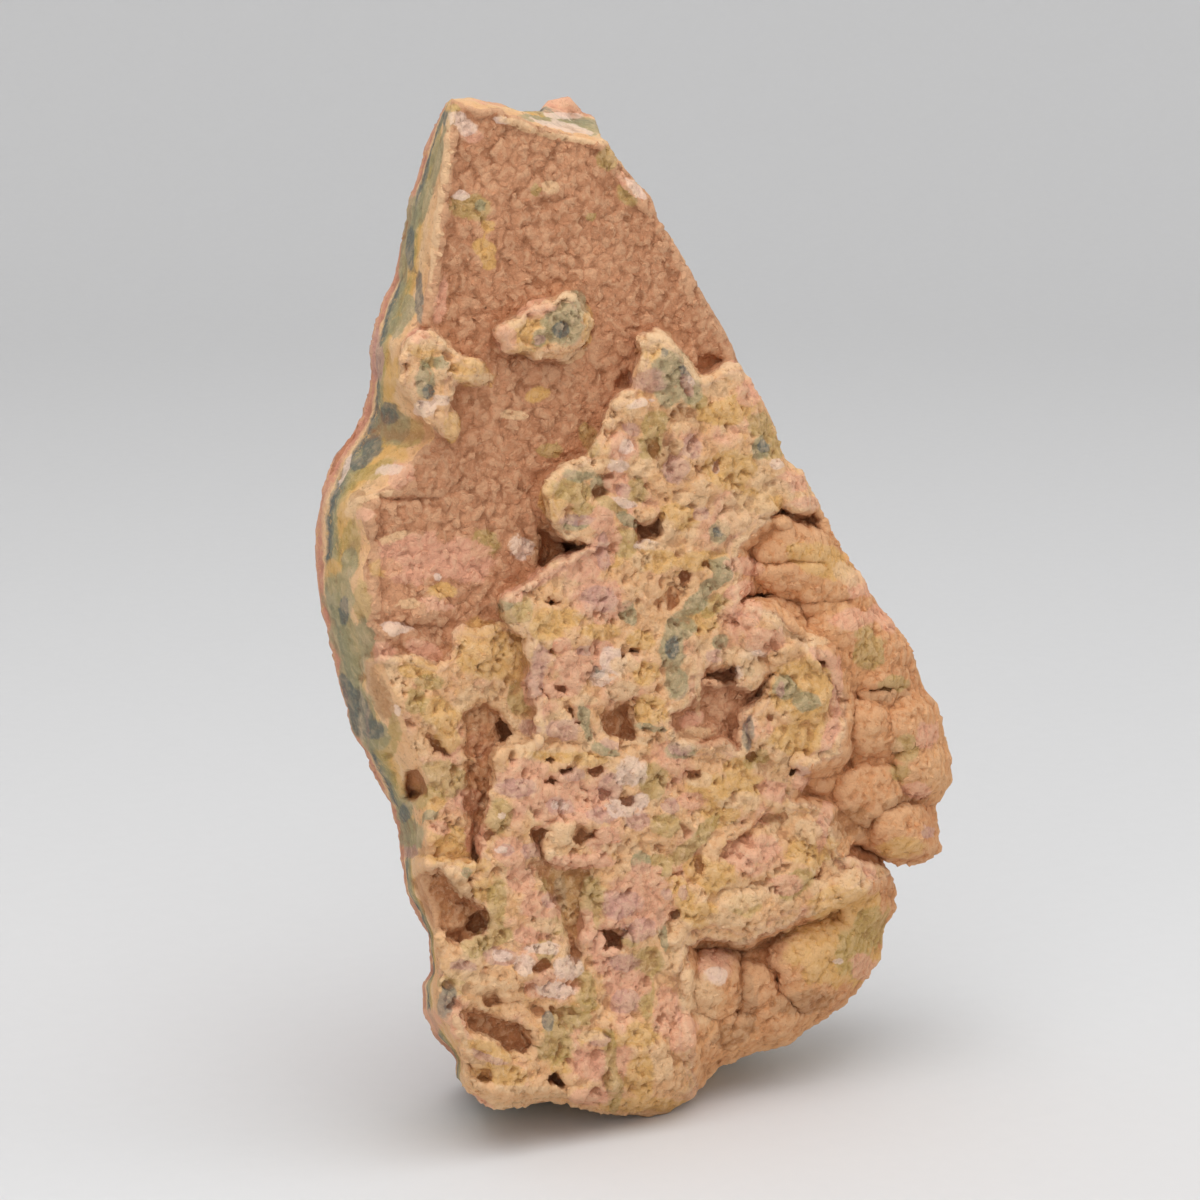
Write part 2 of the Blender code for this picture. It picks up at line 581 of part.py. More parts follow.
def stone_material():
    """Salmon rhodochrosite, dull and a little waxy."""
    material = bpy.data.materials.new("rhodochrosite_stone")
    material.use_nodes = True
    shader = material.node_tree.nodes["Principled BSDF"]
    shader.inputs["Base Color"].default_value = (*STONE_COLOUR, 1.0)
    shader.inputs["Roughness"].default_value = STONE_ROUGHNESS
    shader.inputs["Metallic"].default_value = 0.0
    return material


def build_stone():
    """The one solid of the specimen."""
    stone = bpy.data.objects.new("rhodochrosite", sheet_mesh())
    bpy.context.scene.collection.objects.link(stone)
    remesh(stone, VOXEL)
    swell_skin(stone)
    facet(stone)
    stone.data.materials.clear()
    stone.data.materials.append(stone_material())
    flat_base(stone)
    return stone


def main():
    for item in list(bpy.data.objects):
        bpy.data.objects.remove(item, do_unlink=True)
    build_stone()


main()
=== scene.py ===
"""Looks of a rhodochrosite crust: a standing slab with a druse face, broken layers, lobes and a lumpy back.

The file is laid out as an add-on and is run as a script. It builds the crust again at a fine scale from the
sizes and outlines of its solid, weathers it, grows the druse on it, and sets it on a pale stage.
Outlines on the stone are read in picture pixels, u to the right and v down, and each pixel is one sight
line to the stone. Heights of the relief are millimetres towards the viewer.
"""

import json
import math

import bmesh
import bpy
import numpy as np
from mathutils import Matrix, Vector, noise

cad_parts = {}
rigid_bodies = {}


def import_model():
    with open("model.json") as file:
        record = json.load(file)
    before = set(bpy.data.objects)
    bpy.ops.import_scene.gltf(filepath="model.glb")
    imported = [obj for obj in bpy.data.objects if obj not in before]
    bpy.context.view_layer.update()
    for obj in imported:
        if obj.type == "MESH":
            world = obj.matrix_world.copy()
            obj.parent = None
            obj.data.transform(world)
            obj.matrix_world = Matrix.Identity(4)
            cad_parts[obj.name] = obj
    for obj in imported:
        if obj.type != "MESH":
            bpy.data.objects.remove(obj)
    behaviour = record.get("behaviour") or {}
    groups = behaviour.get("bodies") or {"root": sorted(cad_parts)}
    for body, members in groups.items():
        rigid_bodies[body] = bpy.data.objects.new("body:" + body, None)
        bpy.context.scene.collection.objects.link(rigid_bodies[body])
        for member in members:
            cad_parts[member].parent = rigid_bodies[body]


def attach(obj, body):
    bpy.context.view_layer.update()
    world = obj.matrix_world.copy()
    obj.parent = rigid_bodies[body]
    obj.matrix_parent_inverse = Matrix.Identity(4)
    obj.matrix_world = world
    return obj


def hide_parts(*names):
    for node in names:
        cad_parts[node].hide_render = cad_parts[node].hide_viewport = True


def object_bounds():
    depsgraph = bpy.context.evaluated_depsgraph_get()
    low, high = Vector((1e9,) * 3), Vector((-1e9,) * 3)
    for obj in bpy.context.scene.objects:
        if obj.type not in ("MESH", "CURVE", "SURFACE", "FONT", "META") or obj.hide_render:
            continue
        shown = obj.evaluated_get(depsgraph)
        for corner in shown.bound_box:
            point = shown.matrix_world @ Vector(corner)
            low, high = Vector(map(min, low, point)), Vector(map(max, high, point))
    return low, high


bl_info = {
    "name": "Rhodochrosite Crust",
    "version": (1, 0, 0),
    "blender": (4, 5, 0),
    "location": "3D View > Sidebar > Crust",
    "description": "Builds a rhodochrosite crust specimen over its packed solid",
    "category": "Object",
}

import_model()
CAD_LOW, CAD_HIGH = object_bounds()
NODE = "rhodochrosite"

# Driving sizes of the stone, in metres
STONE_HEIGHT = 0.180
SLAB_THICKNESS = 0.017
MIDDLE_THICKNESS = 0.023
FOOT_THICKNESS = 0.038
MILLIMETRE = 0.001

# The sight lines: their common direction, the distance they are seen from, and the size of a pixel
SIGHT_AZIMUTH = math.radians(-30.0)
SIGHT_ELEVATION = math.radians(12.0)
SIGHT_DISTANCE = 0.72
PIXELS_IN_HEIGHT = 1056
PIXEL = STONE_HEIGHT / PIXELS_IN_HEIGHT
AIM_U, AIM_V = 600.0, 600.0
AIM_POINT = np.array((-0.0155, -0.0155, 0.0950))

# Sampling of the sheets, and the steps from sheets to the finished facets
SHEET_STEP = 2.0
OUTLINE_GROWTH = 1.5
THINNEST_RIM = 1.2 * MILLIMETRE

# The stone's outline, anticlockwise: down its left edge, along the foot, up its right edge and the top
LEFT_EDGE = (
    (470, 101), (447, 103), (441, 118), (437, 128), (427, 150), (420, 180), (411, 200), (405, 235),
    (402, 250), (397, 280), (386, 300), (377, 328), (372, 352), (374, 375), (366, 412), (352, 437),
    (336, 458), (326, 485), (319, 530), (318, 560), (323, 605), (332, 640), (342, 685), (355, 730),
    (373, 770), (392, 806), (402, 832), (404, 862), (408, 893), (419, 912), (430, 935), (434, 972),
    (425, 984), (426, 1013), (437, 1035), (452, 1051), (458, 1062), (457, 1078),
)
FOOT_EDGE = (
    (470, 1090), (490, 1103), (503, 1106), (530, 1099), (560, 1099), (585, 1107), (610, 1110),
    (645, 1114), (665, 1110), (690, 1095), (703, 1076), (725, 1060), (750, 1050), (785, 1042),
    (815, 1020), (845, 1001), (858, 983),
)
RIGHT_EDGE = (
    (877, 957), (881, 928), (893, 908), (890, 899), (893, 890), (888, 873), (880, 862), (881, 855),
    (893, 861), (922, 860), (939, 850), (935, 832), (933, 805), (950, 780), (943, 742), (932, 703),
    (922, 693), (908, 650), (880, 612), (858, 574), (838, 553), (816, 506), (799, 475), (781, 460),
    (769, 417), (742, 375), (727, 340), (700, 298), (668, 240), (655, 220), (648, 197), (625, 176),
    (602, 141),
)
TOP_EDGE = (
    (590, 119), (580, 116), (573, 106), (568, 99), (549, 104), (543, 114), (520, 115), (500, 107),
)

# The ridge between the druse face and the broken left side, and the front rim of the broken top
LEFT_RIDGE = (
    (452, 103), (447, 130), (442, 185), (434, 228), (429, 285), (419, 320), (402, 345), (400, 380),
    (412, 400), (432, 425), (436, 437), (410, 462), (388, 485), (364, 500), (362, 515), (370, 545),
    (362, 575), (362, 600), (373, 630), (385, 668), (400, 710), (412, 745), (428, 775), (428, 850),
    (424, 880), (436, 930), (440, 975), (440, 1010), (462, 1050), (466, 1100),
)
TOP_RIM = ((440, 96), (470, 104), (500, 112), (540, 126), (575, 139), (600, 142), (612, 130))
TOP_SLOPE = 4.7
TOP_DEEPEST = 22.0
SIDE_BULGE = 2.0 * MILLIMETRE

# A knob of the skin on the top edge: centre and reach in pixels, and its thickness along the sight line
KNOB_U, KNOB_V, KNOB_REACH = 562.0, 106.0, 26.0
KNOB_THICKNESS = 5.0 * MILLIMETRE

# Broken layers that stand on the druse face: outline, height in millimetres and width of the edge
PLATEAU = (
    (960, 362), (735, 362), (727, 364), (708, 376), (698, 377), (686, 359), (678, 348), (658, 329),
    (637, 339), (640, 352), (632, 376), (631, 388), (622, 392), (606, 410), (598, 436), (590, 450),
    (562, 466), (553, 472), (543, 492), (548, 515), (558, 535), (580, 552), (553, 564), (528, 583),
    (502, 600), (501, 618), (524, 640), (527, 675), (535, 722), (536, 740), (494, 747), (492, 785),
    (485, 815), (478, 862), (430, 858), (380, 850), (380, 1130), (960, 1130),
)
LOWER_STRIP = (
    (360, 655), (410, 655), (440, 662), (452, 650), (451, 635), (460, 624), (478, 628), (500, 621),
    (535, 625), (545, 750), (500, 860), (440, 875), (380, 870), (360, 750),
)
LEFT_ISLAND = (
    (399, 356), (408, 340), (418, 330), (430, 329), (445, 342), (470, 358), (480, 360), (491, 380),
    (482, 386), (456, 383), (451, 400), (456, 420), (463, 439), (452, 440), (436, 432), (410, 405),
    (396, 385),
)
FREE_ISLAND = (
    (493, 331), (505, 323), (518, 316), (530, 301), (555, 301), (564, 292), (574, 294), (582, 306),
    (592, 325), (588, 342), (575, 352), (560, 361), (535, 357), (520, 352), (506, 356), (500, 346),
)
AGATE_KNOLL = (
    (770, 648), (800, 638), (814, 646), (822, 662), (834, 690), (832, 712), (812, 728), (806, 748),
    (775, 765), (752, 752), (745, 730), (757, 700), (768, 672),
)
LAYERS = (
    (LOWER_STRIP, 2.2, 5.0),
    (PLATEAU, 6.4, 3.0),
    (LEFT_ISLAND, 4.2, 4.0),
    (FREE_ISLAND, 5.2, 4.0),
)

# The lobed right flank stands back from the broken plateau: outline and depth
LOBED_FLANK = (
    (738, 544), (768, 520), (818, 505), (865, 560), (970, 700), (970, 870), (880, 866), (838, 852),
    (826, 810), (790, 800), (800, 770), (840, 752), (846, 700), (826, 655), (800, 632), (770, 612),
    (740, 606),
)
LOWER_FLANK = (
    (690, 944), (706, 936), (722, 939), (745, 941), (780, 926), (815, 912), (850, 896), (900, 870),
    (930, 1000), (800, 1100), (700, 1110), (690, 1050), (684, 990),
)
SALMON_HOLLOW = (
    (668, 712), (690, 706), (699, 684), (735, 682), (752, 692), (768, 680), (776, 690), (762, 702),
    (742, 712), (740, 730), (742, 752), (722, 742), (700, 748), (676, 742),
)

STEPS = (
    (LOBED_FLANK, -4.8, 12.0),
    (LOWER_FLANK, -5.6, 9.0),
    (SALMON_HOLLOW, -4.4, 6.0),
    (AGATE_KNOLL, 2.4, 6.0),
)

# Roughness of the broken layers, and how far outlines wander from their points, in pixels
TORN_RISE = 0.9
TORN_SIZE = 30.0
TORN_ABOVE = 3.0
WANDER = 3.2
WANDER_SIZE = 17.0
OTHER_NOISE = 500.0

# Domes of the botryoidal lobes: centre, radius in pixels and height in millimetres
LOBES = (
    (800, 556, 46, 5.0), (822, 588, 32, 4.0), (856, 592, 24, 3.2), (772, 628, 34, 4.2),
    (842, 640, 40, 5.0), (886, 642, 30, 3.6), (882, 682, 27, 3.8), (850, 668, 24, 3.6),
    (872, 726, 28, 4.4), (914, 722, 33, 4.8), (828, 742, 28, 3.6), (816, 768, 26, 3.6),
    (868, 792, 34, 4.2), (922, 768, 28, 4.4), (904, 836, 33, 4.8), (842, 828, 24, 2.0),
    (735, 868, 36, 2.4), (742, 906, 42, 3.0), (790, 884, 32, 2.0), (704, 902, 30, 2.0),
    (714, 984, 34, 4.4), (752, 986, 26, 3.6), (822, 966, 54, 5.4), (852, 906, 36, 3.4),
    (700, 1040, 28, 3.4), (782, 1018, 30, 3.4), (740, 1036, 26, 3.2), (722, 702, 26, 1.8),
    (702, 732, 26, 1.6), (753, 668, 21, 2.2), (760, 846, 26, 1.6), (812, 830, 16, 1.6),
)
SWELLS = (
    (662, 362, 34, 1.8), (541, 968, 38, 1.8), (580, 842, 44, 1.6), (612, 938, 40, 1.2),
    (640, 1050, 70, 2.4), (560, 640, 60, 1.0), (418, 836, 18, 1.8), (480, 655, 40, 1.2),
    (560, 108, 16, 1.4), (800, 690, 40, 1.2), (430, 608, 26, 1.6), (390, 630, 16, 1.6),
    (700, 470, 60, 0.8), (655, 720, 16, 1.0), (436, 722, 20, 1.0), (515, 545, 12, 1.0),
)

# Pockets with an outline of their own: outline, depth in millimetres and width of the edge, of which
# a share laps over the outline
POCKET_LAP = 0.4
POCKETS = (
    (((556, 541), (586, 542), (585, 551), (562, 557), (548, 572), (537, 566), (538, 526), (548, 530)),
     4.0, 5.0),
    (((560, 542), (586, 542), (585, 551), (562, 557)), 7.0, 3.0),
    (((632, 519), (650, 520), (660, 512), (664, 526), (658, 539), (636, 541)), 6.0, 3.5),
    (((770, 517), (778, 505), (792, 509), (803, 512), (814, 509), (826, 536), (815, 533), (786, 520)),
     8.5, 4.0),
    (((737, 600), (745, 594), (757, 590), (774, 593), (765, 601), (750, 603), (740, 606)), 5.0, 3.5),
    (((700, 681), (707, 670), (720, 668), (733, 662), (736, 684)), 7.5, 3.5),
    (((748, 690), (757, 684), (768, 672), (776, 668), (774, 680), (760, 692), (757, 702)), 3.5, 3.0),
    (((598, 716), (606, 704), (628, 704), (634, 722), (638, 738), (620, 740), (604, 738)), 4.5, 6.0),
    (((460, 712), (485, 700), (502, 712), (515, 733), (505, 745), (480, 760), (462, 755)), 3.6, 5.0),
    (((497, 718), (506, 720), (514, 732), (506, 744), (496, 742)), 3.4, 4.0),
    (((423, 735), (430, 733), (440, 742), (453, 756), (445, 759), (430, 748)), 2.6, 3.5),
    (((464, 764), (480, 756), (493, 750), (491, 800), (484, 815), (478, 868), (466, 858), (463, 800)),
     3.2, 4.5),
    (((411, 882), (425, 868), (438, 866), (462, 894), (486, 912), (488, 928), (468, 941), (459, 950),
      (432, 926)), 5.0, 5.0),
    (((466, 916), (478, 910), (487, 920), (480, 934), (468, 930)), 3.0, 5.0),
    (((461, 1010), (470, 1003), (484, 1012), (520, 1023), (537, 1045), (528, 1056), (500, 1047),
      (468, 1032)), 4.2, 5.0),
    (((526, 862), (545, 858), (560, 866), (592, 862), (585, 890), (580, 950), (572, 975), (560, 920),
      (545, 885)), 2.4, 6.0),
    (((596, 930), (612, 924), (624, 936), (620, 950), (604, 950)), 6.5, 5.0),
    (((570, 838), (578, 826), (596, 825), (598, 838), (580, 846)), 4.0, 4.0),
    (((528, 828), (543, 826), (545, 838), (545, 860), (539, 860), (534, 840)), 4.0, 3.5),
    (((532, 965), (545, 961), (551, 970), (540, 976), (532, 974)), 3.0, 3.0),
    (((405, 770), (420, 766), (427, 780), (426, 796), (410, 800), (404, 788)), 5.0, 4.0),
    (((545, 1080), (556, 1069), (567, 1084), (556, 1088)), 6.0, 4.0),
    (((683, 771), (700, 768), (702, 776), (688, 781)), 4.0, 3.0),
    (((786, 764), (798, 763), (802, 771), (790, 777)), 4.5, 3.0),
    (((843, 856), (850, 844), (862, 843), (884, 856), (880, 868), (862, 862)), 6.0, 4.0),
    (((656, 614), (654, 602), (666, 592), (674, 586), (672, 594), (662, 606)), 3.2, 2.5),
    (((617, 655), (628, 650), (641, 649), (640, 656), (625, 659)), 3.6, 3.0),
    (((692, 367), (698, 355), (716, 352), (726, 360), (712, 371), (700, 377)), 2.4, 5.0),
    (((611, 390), (618, 374), (630, 364), (632, 376), (630, 389), (622, 392)), 1.8, 4.0),
    (((458, 1062), (468, 1060), (494, 1072), (496, 1084), (470, 1080)), 2.0, 4.0),
)

# Ledges: the lip from left to right, the depth below it in millimetres and how far down that fades out
LEDGE_EDGE = 3.0
LEDGE_END = 4.0
LEDGES = (
    (((720, 847), (735, 838), (748, 830), (755, 817), (784, 813)), 4.0, 36.0),
    (((688, 946), (706, 936), (722, 939), (745, 941), (780, 926), (815, 913), (842, 904)), 5.0, 42.0),
    (((714, 894), (735, 886), (772, 877)), 2.2, 18.0),
    (((770, 519), (778, 506), (814, 510)), 2.0, 28.0),
    (((496, 354), (520, 354), (548, 362), (566, 360)), 1.2, 12.0),
    (((372, 616), (400, 621), (456, 622)), 1.6, 14.0),
)

# Narrow creases and cracks: path, width in pixels and depth in millimetres
CREASES = (
    (((740, 545), (760, 562), (790, 562), (822, 562)), 5.0, 1.4),
    (((774, 598), (800, 602), (850, 600)), 5.0, 1.2),
    (((775, 605), (785, 625), (800, 635), (812, 655)), 5.0, 1.6),
    (((836, 700), (853, 700), (853, 740), (850, 766)), 5.0, 1.6),
    (((800, 777), (830, 778), (850, 767), (872, 762), (896, 766)), 5.0, 1.6),
    (((862, 690), (890, 688), (914, 690)), 5.0, 1.4),
    (((870, 822), (882, 809), (914, 804)), 5.0, 1.6),
    (((740, 950), (742, 1000), (730, 1030)), 6.0, 1.6),
    (((768, 965), (782, 992), (800, 1012)), 6.0, 1.6),
    (((545, 742), (580, 744), (597, 757), (625, 757)), 4.0, 1.0),
    (((597, 1008), (607, 1005), (635, 1018)), 3.5, 1.0),
    (((366, 496), (400, 499), (440, 498)), 5.0, 1.2),
)

# Rims that stand proud: path, width in pixels and height in millimetres
RIMS = (
    (((587, 552), (560, 561), (528, 584), (505, 600)), 9.0, 1.2),
    (((454, 110), (446, 185), (434, 285), (426, 322)), 8.0, 1.0),
    (((372, 520), (376, 560), (372, 600), (384, 655)), 8.0, 1.0),
    (((470, 106), (540, 129), (598, 144)), 7.0, 0.9),
    (((600, 146), (626, 184), (650, 214)), 7.0, 0.9),
    (((668, 940), (690, 925), (684, 950), (672, 972)), 9.0, 1.2),
    (((462, 1000), (458, 1030), (490, 1052)), 8.0, 1.0),
)

# Fading of the relief towards the outline
EDGE_FADE = 12.0
EDGE_RELIEF = 0.35

# The hidden back: its depth behind the druse face at each height, thinner at the left
BACK_PROFILE = (
    (0.000, FOOT_THICKNESS), (0.012, FOOT_THICKNESS), (0.045, 0.032), (0.100, MIDDLE_THICKNESS),
    (STONE_HEIGHT, SLAB_THICKNESS),
)
LEFT_THIN_X = -0.058
LEFT_THIN_WIDTH = 0.045
BACK_STEPS = 6

# The hidden sides: metres back for each metre across, and the rounding of the edges in pixels
SIDE_SLOPE = ((90, 8.0), (180, 6.0), (400, 2.4), (930, 1.9))
FOOT_SLOPE = ((460, 9.0), (570, 9.0), (610, 6.0), (690, 5.6), (760, 3.4), (860, 2.6))
SIDE_RADIUS = ((90, 6.0), (480, 8.0), (540, 26.0), (700, 44.0), (860, 40.0), (960, 60.0))
FOOT_RADIUS = ((460, 12.0), (560, 14.0), (640, 30.0), (700, 50.0), (860, 60.0))
FOOT_TOP, FOOT_TURN = 930.0, 90.0
EDGE_FALL = 0.62

# The skin of the hidden back: wide swells, lumps that meet in creases, and a fine grain
BACK_SWELL = 3.2 * MILLIMETRE
BACK_SWELL_SIZE = 0.048
SKIN_LUMP = 0.0150
SKIN_LUMP_RISE = 3.2 * MILLIMETRE
SMALL_LUMP = 0.0062
SMALL_LUMP_RISE = 0.9 * MILLIMETRE
LUMP_REACH = 0.74
LUMP_MIDDLE = 0.6
TURNED_AWAY = -0.2
TURN_GAIN = 1.6
GRAIN_RISE = 0.3 * MILLIMETRE
GRAIN_SIZE = 0.006

# The flat that the stone stands on
BASE_SINK = 0.8 * MILLIMETRE
BASE_CLEAR = 0.004
BASE_BLEND = 0.010


# Small holes in the broken layers: centre, half width, half height, turn in degrees and depth in millimetres
HOLES = (
    (551, 600, 9, 4, 0, 4.0), (673, 600, 11, 5, -50, 2.6), (685, 576, 6, 9, 20, 2.8),
    (705, 564, 5, 4, 0, 2.2), (716, 466, 4, 6, 20, 2.6), (725, 621, 4, 5, 0, 1.8),
    (549, 761, 6, 4, 0, 2.6), (566, 770, 9, 5, 0, 3.2), (551, 782, 8, 4, 0, 2.8),
    (594, 771, 8, 6, 0, 3.0), (570, 710, 5, 5, 30, 2.6), (577, 723, 4, 3, 0, 2.0),
    (561, 688, 8, 5, 20, 2.2), (544, 691, 4, 8, -20, 2.2), (550, 651, 5, 4, 0, 1.8),
    (625, 800, 9, 5, 0, 2.4), (699, 866, 3, 8, 0, 2.2), (674, 876, 8, 2.5, 0, 2.0),
    (674, 914, 7, 5, 40, 2.4), (821, 661, 7, 3, 20, 2.6), (817, 877, 6, 5, 0, 3.0),
    (777, 981, 5, 13, 0, 2.8), (830, 960, 5, 3, 0, 1.6), (515, 979, 3, 3, 0, 2.4),
    (493, 1000, 9, 6, 0, 2.6), (414, 796, 9, 6, -20, 3.0), (362, 677, 5, 4, 0, 1.6),
    (389, 755, 5, 3, 0, 1.6), (598, 492, 8, 9, 0, 2.6), (606, 476, 7, 5, 0, 2.0),
    (652, 448, 7, 11, -15, 1.8), (640, 500, 8, 3, 20, 1.4), (770, 719, 3, 3, 0, 1.6),
    (548, 830, 9, 3, 0, 1.6), (550, 820, 9, 3, 0, 2.0), (490, 836, 5, 7, 0, 2.0),
    (470, 880, 7, 4, 0, 2.0), (556, 1012, 9, 4, 20, 1.8), (575, 1012, 8, 3, 0, 1.6),
    (540, 1012, 5, 3, 0, 1.4), (583, 790, 6, 3, 30, 1.6), (605, 795, 10, 3, 40, 1.6),
    (693, 692, 4, 2, 0, 1.0), (650, 692, 4, 2, 0, 1.2), (500, 1003, 8, 2.5, 0, 1.4),
    (515, 1003, 6, 2.5, 0, 1.2), (625, 872, 7, 2, 40, 1.2), (585, 800, 4, 3, 0, 1.4),
    (690, 520, 4, 3, 0, 1.2), (633, 574, 10, 2.5, -20, 1.2), (470, 1064, 4, 6, 0, 1.6),
    (485, 1078, 9, 4, 20, 1.8), (880, 690, 18, 3, 0, 1.2), (752, 756, 6, 3, -30, 1.6),
    (765, 520, 4, 3, 0, 1.0), (845, 868, 6, 4, 20, 1.6),
)

